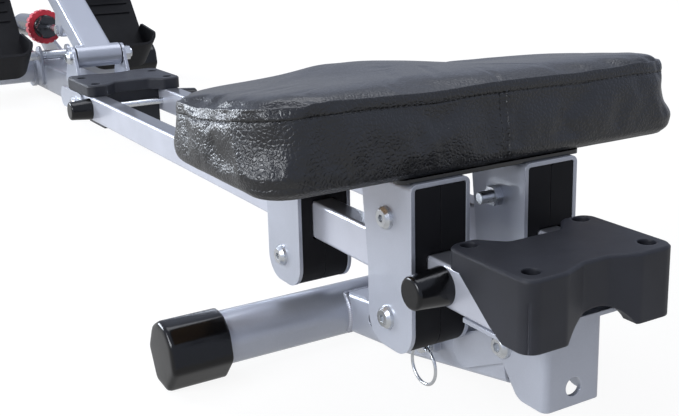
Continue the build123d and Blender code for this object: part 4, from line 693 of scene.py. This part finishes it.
TOP_LOBES = (
    # across, rise
    (-150, -2.0), (-115, -0.9), (-80, 0.4), (-45, 4.9), (-10, 5.0), (25, 2.8), (60, -1.6), (95, -3.6),
    (130, -2.6),
)
BASE_PROFILE = (
    # inwards, up from the seat's underside
    (BOARD_EDGE, BOARD_POCKET), (BOARD_EDGE, 0.4), (BOARD_EDGE - 1.2, 0.0), (9.0, 0.0), (4.6, 0.1),
)
SIDE_PROFILE = (
    # share of the band's height below the lip, inwards, growth of the rear corners' radius
    (0.02, 4.4, 0.0), (0.05, 2.6, 0.0), (0.08, 1.2, 0.0), (0.11, 0.2, 0.0), (0.135, -0.4, 0.0),
    (0.155, -0.7, 0.0), (0.175, -1.0, 0.0), (0.20, -1.4, 0.2), (0.25, -1.8, 0.6), (0.31, -1.7, 1.4),
    (0.38, -1.3, 3.0), (0.46, -0.6, 5.4), (0.54, 0.1, 8.0), (0.62, 0.6, 10.4), (0.70, 0.9, 12.4),
    (0.78, 1.1, 14.0), (0.86, 1.1, 15.2), (0.93, 1.1, 15.8), (0.97, 1.1, 16.0),
)
LIP_PROFILE = (
    # share of the lip down from the top seam, inwards
    (1.10, 1.2), (1.03, 1.4), (1.0, 1.6), (0.97, 1.4), (0.90, 0.9), (0.80, 0.6), (0.64, 0.5),
    (0.46, 0.5), (0.30, 0.6), (0.17, 0.8), (0.07, 1.0), (-0.02, 1.2), (-0.08, 1.6), (-0.08, 2.1),
    (-0.03, 2.6),
)
# How much larger the rear corners' radius is at the lip and on the top than at the bottom
LIP_CORNER = 16.0
TOP_INSETS = (3.0, 3.5, 4.2, 5.4, 7.2, 9.6, 12.6, 16.0, 21.0)
TOP_SHARES = (0.86, 0.79, 0.72, 0.65, 0.585, 0.52, 0.455, 0.39, 0.325, 0.26, 0.195, 0.13, 0.07, 0.03)
CREASES = (
    # from (across, in from the rear edge) to (across, in), half width, depth
    (-163, 48, -137, 86, 5.0, -0.9), (-139, 84, -102, 120, 5.5, -1.0), (-104, 118, -62, 152, 6.0, -0.9),
    (-64, 150, -20, 180, 6.5, -0.6), (-150, 58, -118, 66, 6.0, 0.7),
    (-20, 114, -44, 66, 3.4, 0.9), (-42, 70, -64, 26, 3.2, 1.0), (-6, 80, -34, 22, 3.2, 1.0),
    (-148, 40, -134, 14, 3.0, 0.9), (-84, 34, -70, 8, 2.8, 0.6),
    (12, 40, 4, 8, 2.6, 0.8), (30, 66, 52, 20, 3.4, 0.7), (70, 84, 96, 34, 4.0, 0.7),
    (150, 40, 128, 84, 5.0, -0.8), (112, 26, 138, 10, 3.0, 0.6),
)


def seat_rows(form):
    """The cover's rings, from the board's pocket below to the top's middle."""
    rows = []

    def ring(inward, level, grow=1.0, corner=LIP_CORNER):
        points = []
        for (u, v), out in form.make_rim(form.rear_corner + corner):
            side = abs(out[1])
            step = inward * (REAR_BULGE + (1 - REAR_BULGE) * side) if inward < 0 else inward
            if inward < SIDE_SWELL_WITHIN:
                step -= SIDE_SWELL * side
            u, v = (u - step * out[0]) * grow, (v - step * out[1]) * grow
            points.append(form.place(u, v, level(u, v)))
        rows.append(points)

    for inward, up in BASE_PROFILE:
        ring(inward, lambda u, v, z=up: z, corner=0.0)
    for share, inward, corner in SIDE_PROFILE:
        ring(inward, lambda u, v, s=share: s * (form.height(u, v) - form.lip * 1.1), corner=corner)
    for share, inward in LIP_PROFILE:
        ring(inward, lambda u, v, s=share: form.height(u, v) - s * form.lip)
    seam = len(rows) - 1
    for inward in TOP_INSETS:
        ring(inward, lambda u, v, i=inward: form.height(u, v) + form.dome(u, v, i - 2.6))
    for share in TOP_SHARES:
        inside = TOP_INSETS[-1] + (1 - share) * TOP_SLOPE_RUN
        ring(TOP_INSETS[-1], lambda u, v, i=inside: form.height(u, v) + form.dome(u, v, i), share)
    return rows, seam


def seat_cover(form):
    """The cover as one closed mesh of rings, with the top seam's ring and the points of a ring."""
    rows, seam = seat_rows(form)
    count = len(form.rim)
    verts = [p for row in rows for p in row]
    verts.append(form.place(0, 0, BOARD_POCKET))
    verts.append(form.place(0, 0, form.height(0, 0) + form.dome(0, 0, TOP_MIDDLE_INSIDE)))
    return verts, closed_skin(len(rows), count), seam, count


CLOTH_CELL = 0.005
CLOTH_FRAMES = 20
HELD_BELOW = 11
CLOTH = {
    "quality": 5, "mass": 0.4, "tension_stiffness": 20, "compression_stiffness": 20,
    "bending_stiffness": 0.6, "use_pressure": True, "uniform_pressure_force": 4.0,
    "vertex_group_mass": "held", "shrink_min": -0.03,
}
# A crease fades towards its ends, and has a bank beside it: its share of the depth, and its place
CREASE_ENDS = 0.12
CREASE_BANK = 0.45
CREASE_BANK_AT = 1.6
# The side band's ripples: first ring, how many rings below the top seam they end, sizes, depth
RIPPLE_FIRST = 4
RIPPLE_END = 12
RIPPLE_COARSE = 24.0
RIPPLE_FINE = 9.0
RIPPLE_DEPTH = 0.55
# The fold at the left rear bottom corner
FOLD_REACH = 34
FOLD_UP = 9
FOLD_HALF = 3.0
FOLD_DEPTH = 1.3
# The rear seam: the strip that it is pressed into, across and in from the edge, and where it ends
SEAM_STRIP = (-8, 20)
SEAM_STRIP_IN = 8
SEAM_END = 9
SEAM_SECTION = (
    # across, half width, how far it stands out
    (SEAM_SIDE, 0.6, 1.6), (SEAM_SIDE + 1.2, 0.9, -0.6), (SEAM_STITCHES, 0.9, -0.4),
)


def blown(verts, faces, cap):
    """A coarse copy of the cover blown up by cloth simulation, as its rest and its swollen mesh."""
    piece = new_piece("cover_trial", verts, faces, "vinyl", None)
    piece.data.remesh_voxel_size = CLOTH_CELL
    with bpy.context.temp_override(object=piece, active_object=piece, selected_objects=[piece]):
        bpy.ops.object.voxel_remesh()
    held = piece.vertex_groups.new(name="held")
    rest = [v.co.copy() for v in piece.data.vertices]
    polygons = [tuple(p.vertices) for p in piece.data.polygons]
    floor = on_rails(SEAT_MIDDLE, 0, SEAT_FLOOR)
    for i, co in enumerate(rest):
        up = (co - floor).dot(UPWARD) / MM
        if up < HELD_BELOW:
            held.add([i], 1.0, "REPLACE")
    cloth = piece.modifiers.new("cloth", "CLOTH")
    for name, value in CLOTH.items():
        setattr(cloth.settings, name, value)
    cloth.settings.effector_weights.gravity = 0.0
    cloth.collision_settings.use_collision = False
    scene = bpy.context.scene
    for number in range(1, CLOTH_FRAMES + 1):
        scene.frame_set(number)
    graph = bpy.context.evaluated_depsgraph_get()
    swollen = [v.co.copy() for v in piece.evaluated_get(graph).data.vertices]
    bpy.data.objects.remove(piece)
    scene.frame_set(1)
    moved = []
    for a, b in zip(rest, swollen):
        step = b - a
        if step.length > cap:
            step = step * (cap / step.length)
        moved.append(a + step)
    return rest, moved, polygons


def follow(points, rest, moved, polygons):
    """Carries points along with the nearest place of a mesh that has moved."""
    triangles = []
    for polygon in polygons:
        triangles += [(polygon[0], polygon[i], polygon[i + 1]) for i in range(1, len(polygon) - 1)]
    nearest = BVHTree.FromPolygons(rest, triangles)
    result = []
    for point in points:
        spot, _, index, _ = nearest.find_nearest(point)
        a, b, c = triangles[index]
        shifted = barycentric_transform(spot, rest[a], rest[b], rest[c], moved[a], moved[b], moved[c])
        result.append(point + (shifted - spot))
    return result


def crease(form, u, v):
    """How deep a crease lies at a point of the top, in millimetres."""
    inward = form.half_u - u
    deep = 0.0
    for v0, i0, v1, i1, half, depth in CREASES:
        run = Vector((v1 - v0, i1 - i0))
        spot = Vector((v - v0, inward - i0))
        t = min(1.0, max(0.0, spot.dot(run) / run.length_squared))
        away = (spot - run * t).length
        fade = math.sin(math.pi * (CREASE_ENDS + (1 - 2 * CREASE_ENDS) * t))
        deep += depth * fade * (hill(away, half) - CREASE_BANK * hill(away / half - CREASE_BANK_AT, 1))
    return deep


class ROWER_OT_cushion(bpy.types.Operator):
    """Make the seat's padded cover with its lip, seams and creases"""

    bl_idname = "rower.cushion"
    bl_label = "Seat cushion"

    def execute(self, context):
        sizes = context.scene.rower.seat
        form = SeatForm(sizes)
        verts, faces, seam, count = seat_cover(form)
        verts = follow(verts, *blown(verts, faces, sizes.swell))
        self.press(form, verts, seam, count)
        cushion = new_piece("seat_cover", verts, faces, "vinyl", "carriage")
        smooth = cushion.modifiers.new("smooth", "SUBSURF")
        smooth.levels = 1
        smooth.render_levels = 1
        settle(cushion)
        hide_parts("seat_cushion")
        return {"FINISHED"}

    @staticmethod
    def press(form, verts, seam, count):
        """Presses the rear seam and the creases into the cover."""
        start = on_rails(SEAT_MIDDLE, 0, SEAT_FLOOR)
        for number, co in enumerate(verts):
            spot = co - start
            u, v, up = spot.dot(ALONG) / MM, spot.y / MM, spot.dot(UPWARD) / MM
            row = number // count
            if row > seam and number < len(verts) - 2:
                verts[number] = co - UPWARD * (MM * crease(form, u, v))
            elif RIPPLE_FIRST <= row < seam - RIPPLE_END:
                ripple = noise.noise(Vector((u, v, 1.6 * up)) / RIPPLE_COARSE)
                ripple += 0.5 * noise.noise(Vector((u, v, up)) / RIPPLE_FINE)
                corner = hill(math.dist((u, v), (form.half_u, -form.half_v)), FOLD_REACH)
                fold = corner * hill(up - FOLD_UP, FOLD_HALF)
                out = Vector((u / form.half_u, v / form.half_v)).normalized()
                step = RIPPLE_DEPTH * ripple - FOLD_DEPTH * fold
                verts[number] = co + MM * step * world_way(out.x, out.y)
            co = verts[number]
            near = u > form.half_u - SEAM_STRIP_IN and SEAM_STRIP[0] < v < SEAM_STRIP[1]
            if near and up > 1 and row < seam - SEAM_END:
                step = sum(rise * hill(v - across, half) for across, half, rise in SEAM_SECTION)
                verts[number] = co + ALONG * (MM * step)


STITCH_REACH = 0.02
STITCH_LIFT = 0.0001
REAR_LINE_START = 3.0
REAR_LINE_POINTS = 24


class ROWER_OT_stitches(bpy.types.Operator):
    """Sew the seat's cover round its lip and down its rear seam"""

    bl_idname = "rower.stitches"
    bl_label = "Seat stitches"

    def execute(self, context):
        sizes = context.scene.rower.seat
        form = SeatForm(sizes)
        cover = bpy.data.objects["seat_cover"]
        surface = BVHTree.FromObject(cover, context.evaluated_depsgraph_get())
        lines = [self.round_line(form, surface), self.rear_line(form, surface)]
        tree, names = bead_tree()
        values = {"Pitch": sizes.stitch, "Length": sizes.stitch * 0.66, "Width": 0.0009, "Height": 0.0007,
                  "Slant": 0.12}
        along_lines("seat_stitches", lines, tree, names, values, "thread", "carriage")
        return {"FINISHED"}

    @staticmethod
    def resting(surface, point, way):
        """Where a point pushed against the cover rests on it, and the cover's outward direction."""
        spot, normal, _, _ = surface.ray_cast(point + way * STITCH_REACH, -way, 2 * STITCH_REACH)
        if spot is None:
            spot, normal, _, _ = surface.find_nearest(point)
        return spot + normal * STITCH_LIFT, normal

    def round_line(self, form, surface):
        line = []
        for (u, v), out in form.rim + form.rim[:1]:
            way = world_way(*out)
            up = form.height(u, v) - form.lip
            line.append(self.resting(surface, form.place(u, v, up), way))
        return line

    def rear_line(self, form, surface):
        line = []
        top = form.height(form.half_u, 0) - form.lip * 1.2
        for i in range(REAR_LINE_POINTS):
            up = REAR_LINE_START + (top - REAR_LINE_START) * i / (REAR_LINE_POINTS - 1)
            point = form.place(form.half_u, SEAM_STITCHES, up)
            line.append(self.resting(surface, point, ALONG))
        return line


# ---------------------------------------------------------------- welds and threads


FOOT_RADIUS = 21.5
JOINTS = (
    # piece, body, foot tube's x and z, way the welded tube leaves it in degrees, its half width
    ("weld_rear_foot", "leg", -201.5, -79.0, 7.5, 17.0),
    ("weld_front_foot", "frame", -1130.0, 12.04, 0.0, 20.0),
)
WELD_LIFT = 0.6
TUBE_CORNER = 2.0
WELD_STEPS_ACROSS = 24
WELD_STEPS_ROUND = 20
# The axle bolts' places along and above the rails, and where their threaded tails start and end
AXLE_XS = (-43.3, -196.3)
AXLE_ZS = (51.4, -19.0)
TAIL_INNER = 7.2
TAIL_OUTER = 16.6
THREAD_RADIUS = 3.85


class ROWER_OT_welds(bpy.types.Operator):
    """Run a rippled weld bead round each joint of a tube with a foot tube"""

    bl_idname = "rower.welds"
    bl_label = "Welds"

    def execute(self, context):
        metal = context.scene.rower.metal
        tree, names = bead_tree()
        values = {"Pitch": metal.weld_ripple, "Length": metal.weld_ripple * 1.9, "Width": metal.weld_width,
                  "Height": metal.weld_width * 0.5, "Slant": 0.35}
        for name, body, x, z, way, half in JOINTS:
            line = self.seam(x, z, math.radians(way), half)
            along_lines(name, [line], tree, names, values, "weld", body)
        return {"FINISHED"}

    @staticmethod
    def seam(x, z, way, half):
        """The closed line where a square tube meets a round one that crosses its end."""
        reach = math.asin((half - TUBE_CORNER) / FOOT_RADIUS)
        spots = []
        for side in (1, -1):
            for i in range(WELD_STEPS_ACROSS + 1):
                spots.append((side * reach, side * (2 * half * i / WELD_STEPS_ACROSS - half), side, 0))
            for i in range(WELD_STEPS_ROUND + 1):
                spots.append((side * (reach - 2 * reach * i / WELD_STEPS_ROUND), side * half, 0, side))
        line = []
        for turn, y, over, aside in spots + spots[:1]:
            angle = way + turn
            round_way = Vector((math.cos(angle), 0.0, math.sin(angle)))
            face = Vector((-math.sin(way) * over, float(aside), math.cos(way) * over))
            point = Vector((x, y, z)) + (FOOT_RADIUS + WELD_LIFT) * round_way + WELD_LIFT * face
            out = (round_way + face).normalized()
            line.append((on_rails(*point), world_way(*out)))
        return line


class ROWER_OT_threads(bpy.types.Operator):
    """Cut the screw threads of the axle bolts' tails, where they leave their nuts"""

    bl_idname = "rower.threads"
    bl_label = "Threads"

    def execute(self, context):
        metal = context.scene.rower.metal
        tree, names = thread_tree()
        values = {"Pitch": metal.thread_pitch, "Radius": THREAD_RADIUS * MM}
        lines = []
        for x in AXLE_XS:
            for z in AXLE_ZS:
                for hand in (-1, 1):
                    ends = (hand * TAIL_OUTER, hand * TAIL_INNER)
                    lines.append([(on_rails(x, y, z), ALONG) for y in ends])
        along_lines("axle_threads", lines, tree, names, values, "zinc", "carriage")
        return {"FINISHED"}


# ---------------------------------------------------------------- foot caps


CAPS = (
    # name, frame node, body, foot tube's x and z
    ("foot_cap_rear_left", "rear_foot_cap_left", "leg", -201.5, -79.0),
    ("foot_cap_rear_right", "rear_foot_cap_right", "leg", -201.5, -79.0),
    ("foot_cap_front_left", "front_foot_cap_left", "frame", -1130.0, 12.04),
    ("foot_cap_front_right", "front_foot_cap_right", "frame", -1130.0, 12.04),
)
CAP_FACETS = (
    # degrees from straight up, distance from the tube's axis
    (0, 24.0), (36, 24.0), (-36, 24.0), (72, 24.0), (-72, 24.0), (124, 26.0), (-124, 26.0), (180, 29.5),
)
CAP_MOUTH = 0.6
CAP_END = 4.0
CAP_POINTS = 96
CAP_SHARPNESS = 22
CAP_RIMS = (
    # from the inner end, inwards
    (0.3, 2.0), (0.0, 1.4), (0.25, 0.6), (0.9, 0.1), (1.8, 0.0),
)
CAP_CROWN = (
    # from the outer end, inwards
    (16.0, 0.0), (5.0, 0.0), (3.4, 0.15), (2.2, 0.6), (1.2, 1.3), (0.5, 2.4), (0.15, 3.8), (0.05, 6.5),
)


class ROWER_OT_caps(bpy.types.Operator):
    """Mould the foot tubes' end caps: softly faceted sleeves with a flat sole and a closed end"""

    bl_idname = "rower.caps"
    bl_label = "Foot caps"

    def execute(self, context):
        for name, node, body, x, z in CAPS:
            low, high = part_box(node)
            self.mould(name, node, body, on_rails(x, 0, z), low[1], high[1])
        return {"FINISHED"}

    @staticmethod
    def outline(angle):
        """How far the cap's side is from the tube's axis, with its facets' corners rounded."""
        total = 0.0
        for way, away in CAP_FACETS:
            total += (max(0.0, math.cos(angle - math.radians(way))) / away) ** CAP_SHARPNESS
        return total ** (-1 / CAP_SHARPNESS)

    def mould(self, name, node, body, axis, low, high):
        sense = 1 if low > 0 else -1
        inner, outer = (low, high) if low > 0 else (high, low)
        rows = [(outer - sense * CAP_END * MM, None), (inner + sense * CAP_MOUTH * MM, None)]
        rows += [(inner + sense * y * MM, inward) for y, inward in CAP_RIMS]
        rows += [(outer - sense * y * MM, inward) for y, inward in CAP_CROWN]
        count = CAP_POINTS
        verts = []
        for y, inward in rows:
            for i in range(count):
                angle = math.tau * i / count * sense
                reach = FOOT_RADIUS if inward is None else self.outline(angle) - inward
                way = Vector((math.sin(angle), 0.0, math.cos(angle)))
                verts.append(Vector((axis.x, y, axis.z)) + way * (reach * MM))
        verts.append(Vector((axis.x, rows[0][0], axis.z)))
        verts.append(Vector((axis.x, outer, axis.z)))
        faces = closed_skin(len(rows), count, turned=True)
        cap = new_piece(name, verts, faces, "rubber", body)
        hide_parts(node)


# ---------------------------------------------------------------- straps


PLATE_LEAN = 40.0
FOOT_SLOPE = math.radians(RAIL_TILT + PLATE_LEAN)
FOOT_AXLE = on_rails(-1084.0, 0, 37.0)
FOOT_OUT = Vector((math.cos(FOOT_SLOPE), 0.0, math.sin(FOOT_SLOPE)))
FOOT_UP = Vector((-math.sin(FOOT_SLOPE), 0.0, math.cos(FOOT_SLOPE)))
STRAP_HALF = 46.1
STRAP_FOOT = 13.0
STRAP_SHOULDER = 38.0
PLATE_TOP = 22.0
PEDAL_MIDDLE = 94.0
STRAP_UP_PLATE = 125
STRAP_LEG_STEPS = 9
STRAP_ARC_STEPS = 48
STRAP_SAG = 0.5
STRAP_WAVE = 23.0
# The webbing's edges are thinner: from which share of its half width, and by which share
STRAP_EDGE = 0.85
STRAP_THINNER = 0.35
STRAP_ACROSS = (-1.0, -0.97, -0.9, -0.75, -0.5, -0.25, 0.0, 0.25, 0.5, 0.75, 0.9, 0.97, 1.0)


class ROWER_OT_straps(bpy.types.Operator):
    """Make the two woven foot straps over the foot plates"""

    bl_idname = "rower.straps"
    bl_label = "Foot straps"

    def execute(self, context):
        sizes = context.scene.rower.straps
        for word, hand in (("left", -1), ("right", 1)):
            self.make(sizes, word, hand)
        return {"FINISHED"}

    @staticmethod
    def path(sizes, thick):
        """The strap's middle line seen along the foot plate, as points across it and out from it."""
        half = STRAP_HALF + thick / 2
        crest = PLATE_TOP + sizes.rise / MM + thick / 2
        rise = crest - STRAP_SHOULDER
        radius = (half * half + rise * rise) / (2 * rise)
        middle = crest - radius
        first = math.atan2(STRAP_SHOULDER - middle, half)
        steps = STRAP_LEG_STEPS
        levels = [STRAP_FOOT + (STRAP_SHOULDER - STRAP_FOOT) * i / steps for i in range(steps)]
        points = [(half, level) for level in levels]
        for i in range(STRAP_ARC_STEPS + 1):
            angle = first + (math.pi - 2 * first) * i / STRAP_ARC_STEPS
            points.append((radius * math.cos(angle), middle + radius * math.sin(angle)))
        return points + [(-half, level) for level in reversed(levels)]

    def make(self, sizes, word, hand):
        thick = sizes.thickness / MM
        width = sizes.width / MM
        points = self.path(sizes, thick)
        profile = [(a, 1) for a in STRAP_ACROSS] + [(a, -1) for a in reversed(STRAP_ACROSS)]
        verts = []
        uvs = []
        walked = 0.0
        origin = FOOT_AXLE + Vector((0, hand * PEDAL_MIDDLE * MM, 0))
        for i, (y, h) in enumerate(points):
            before = points[max(0, i - 1)]
            after = points[min(len(points) - 1, i + 1)]
            walked += math.dist(before, (y, h)) if i else 0.0
            run = Vector((after[0] - before[0], after[1] - before[1])).normalized()
            out = Vector((run.y, -run.x))
            sag = STRAP_SAG * math.sin(walked / STRAP_WAVE) * math.sin(math.pi * i / (len(points) - 1))
            for a, face in profile:
                edge = 1.0 - STRAP_THINNER * max(0.0, abs(a) - STRAP_EDGE) / (1 - STRAP_EDGE)
                cup = sag * (1 - a * a)
                lift = face * thick / 2 * edge + cup
                up_plate = STRAP_UP_PLATE + a * width / 2
                spot = origin + MM * ((h + out.y * lift) * FOOT_OUT + up_plate * FOOT_UP)
                verts.append(spot + Vector((0, MM * (y + out.x * lift), 0)))
                uvs.append((MM * a * width / 2, MM * walked))
        ring = len(profile)
        faces = skin(len(points), ring)
        faces.append(tuple(reversed(range(ring))))
        faces.append(tuple(range((len(points) - 1) * ring, len(points) * ring)))
        strap = new_piece(f"foot_strap_{word}", verts, faces, "webbing", f"pedal_{word}")
        layer = strap.data.uv_layers.new(name="UVMap")
        for loop in strap.data.loops:
            layer.data[loop.index].uv = uvs[loop.vertex_index]
        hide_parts(f"pedal_strap_{word}")
        MM * walked


# ---------------------------------------------------------------- stage


CAMERA_PLACE = Vector((1.07565, -0.4280, 0.43079))
# Against the rails: round to the left, down, and rolled
CAMERA_TURN = (59.56, 13.68, -1.37)
CAMERA_LENS = 54.87
CAMERA_SHIFT = -0.08
LAMPS = (
    # name, place, size, power, colour
    ("left", (0.75, -2.7, 1.55), 1.5, 62, (0.93, 0.96, 1.0)),
    ("front", (-2.3, -1.7, 0.7), 1.3, 72, (0.86, 0.92, 1.0)),
    ("top", (-0.5, 0.5, 3.0), 2.4, 36, (0.93, 0.95, 1.0)),
)
LAMPS_AIM = Vector((0.35, 0.0, 0.18))
FLOOR_REACH = 9.0
# How white the floor looks, seen straight and in a reflection
FLOOR_WHITE = 1.07
FLOOR_SHARE = 0.84
MIRROR_LOSS = 0.5


SKY = (
    # colour and strength of the world for the object's light, its reflections, and the background
    ((0.84, 0.88, 1.0, 1.0), 0.30), ((0.74, 0.81, 1.0, 1.0), 0.75), ((1.0, 1.0, 1.0, 1.0), 1.0),
)


def rays(start):
    """1 for camera rays, glossy rays and transmission rays, in this order, and 0 for others."""
    kinds = ("Is Camera Ray", "Is Glossy Ray", "Is Transmission Ray")
    return [start.node("ShaderNodeLightPath", {}, output=kind) for kind in kinds]


class ROWER_OT_stage(bpy.types.Operator):
    """Make the floor, the studio light and the camera"""

    bl_idname = "rower.stage"
    bl_label = "Floor, light and camera"

    def execute(self, context):
        scene = context.scene
        self.floor()
        self.sky(scene)
        for lamp in LAMPS:
            self.lamp(*lamp)
        scene.camera = self.camera()
        scene.view_settings.view_transform = "Standard"
        return {"FINISHED"}

    @staticmethod
    def floor():
        mesh = bpy.data.meshes.new("floor")
        corners = [(x * FLOOR_REACH, y * FLOOR_REACH, 0) for x, y in ((-1, -1), (1, -1), (1, 1), (-1, 1))]
        mesh.from_pydata(corners, [], [(0, 1, 2, 3)])
        material = bpy.data.materials.new("pale_floor")
        material.use_nodes = True
        tree = material.node_tree
        start = Wire(tree, None)
        shader = tree.nodes["Principled BSDF"]
        spot = start.node("ShaderNodeTexCoord", {}, output="Object")
        pale = spot.noise(400, 2).mix((0.93, 0.93, 0.94, 1), (0.97, 0.97, 0.97, 1))
        feed(tree, shader.inputs["Base Color"], pale)
        shader.inputs["Roughness"].default_value = 0.85
        camera, glossy, through = rays(start)
        seen = start.math("MAXIMUM", start.math("MAXIMUM", camera, glossy), through)
        white = FLOOR_WHITE - MIRROR_LOSS * glossy
        lit = start.node("ShaderNodeEmission", {"Color": (1, 1, 1, 1), "Strength": white})
        plain = Wire(tree, shader.outputs[0])
        mixed = start.node("ShaderNodeMixShader", {0: seen * FLOOR_SHARE, 1: plain, 2: lit})
        tree.links.new(mixed.socket, tree.nodes["Material Output"].inputs["Surface"])
        mesh.materials.append(material)
        placed("floor", mesh)

    @staticmethod
    def sky(scene):
        world = bpy.data.worlds.new("studio")
        scene.world = world
        world.use_nodes = True
        tree = world.node_tree
        start = Wire(tree, None)
        soft, gloss, clear = (
            start.node("ShaderNodeBackground", {"Color": color, "Strength": strength})
            for color, strength in SKY
        )
        camera, glossy, through = rays(start)
        mixed = start.node("ShaderNodeMixShader", {0: glossy, 1: soft, 2: gloss})
        seen = start.math("MAXIMUM", camera, through)
        mixed = start.node("ShaderNodeMixShader", {0: seen, 1: mixed, 2: clear})
        tree.links.new(mixed.socket, tree.nodes["World Output"].inputs["Surface"])

    @staticmethod
    def lamp(name, place, size, power, color):
        light = bpy.data.lights.new(name, "AREA")
        light.color = color
        light.shape = "RECTANGLE"
        light.size = size
        light.size_y = size * 0.7
        light.energy = power
        lamp = placed(name, light)
        lamp.location = place
        aim = LAMPS_AIM - Vector(place)
        lamp.rotation_euler = aim.to_track_quat("-Z", "Y").to_euler()
        lamp.visible_camera = False

    @staticmethod
    def camera():
        """The photograph's camera, turned from the rails' own directions."""
        yaw, pitch, roll = (math.radians(angle) for angle in CAMERA_TURN)
        level = Vector((math.cos(yaw), math.sin(yaw), 0))
        ahead = Vector((-math.sin(yaw), math.cos(yaw), 0)) * math.cos(pitch)
        ahead -= Vector((0, 0, math.sin(pitch)))
        above = level.cross(ahead)
        right = level * math.cos(roll) + above * math.sin(roll)
        up = above * math.cos(roll) - level * math.sin(roll)
        axes = [world_way(*axis) for axis in (right, up, -ahead)]
        data = bpy.data.cameras.new("camera")
        data.lens = CAMERA_LENS
        data.sensor_width = 36.0
        data.shift_y = CAMERA_SHIFT
        data.clip_start = 0.01
        camera = placed("camera", data)
        turned = Matrix(axes).transposed()
        camera.matrix_world = Matrix.Translation(CAMERA_PLACE) @ turned.to_4x4()
        return camera


class ROWER_PT_panel(bpy.types.Panel):
    """Buttons that make the rower's dressed pieces, and their sizes and colours"""

    bl_label = "Hydraulic rower"
    bl_idname = "ROWER_PT_panel"
    bl_space_type = "VIEW_3D"
    bl_region_type = "UI"
    bl_category = "Rower"

    def draw(self, context):
        layout = self.layout
        for step in STEPS:
            layout.operator(step)
        looks = context.scene.rower
        for group in (looks.seat, looks.straps, looks.metal, looks.colors):
            box = layout.box()
            for name in group.__annotations__:
                box.prop(group, name)


CLASSES = (
    RowerSeat, RowerStraps, RowerMetal, RowerColors, RowerLooks,
    ROWER_OT_finishes, ROWER_OT_cushion, ROWER_OT_stitches, ROWER_OT_welds, ROWER_OT_threads,
    ROWER_OT_caps, ROWER_OT_straps, ROWER_OT_stage, ROWER_PT_panel,
)
STEPS = (
    "rower.finishes", "rower.cushion", "rower.stitches", "rower.welds", "rower.threads", "rower.caps",
    "rower.straps", "rower.stage",
)


def register():
    for cls in CLASSES:
        bpy.utils.register_class(cls)
    bpy.types.Scene.rower = bpy.props.PointerProperty(type=RowerLooks)


def unregister():
    del bpy.types.Scene.rower
    for cls in reversed(CLASSES):
        bpy.utils.unregister_class(cls)


def main():
    register()
    bpy.ops.rower.finishes()
    bpy.ops.rower.cushion()
    bpy.ops.rower.stitches()
    bpy.ops.rower.welds()
    bpy.ops.rower.threads()
    bpy.ops.rower.caps()
    bpy.ops.rower.straps()
    bpy.ops.rower.stage()


if __name__ == "__main__":
    main()
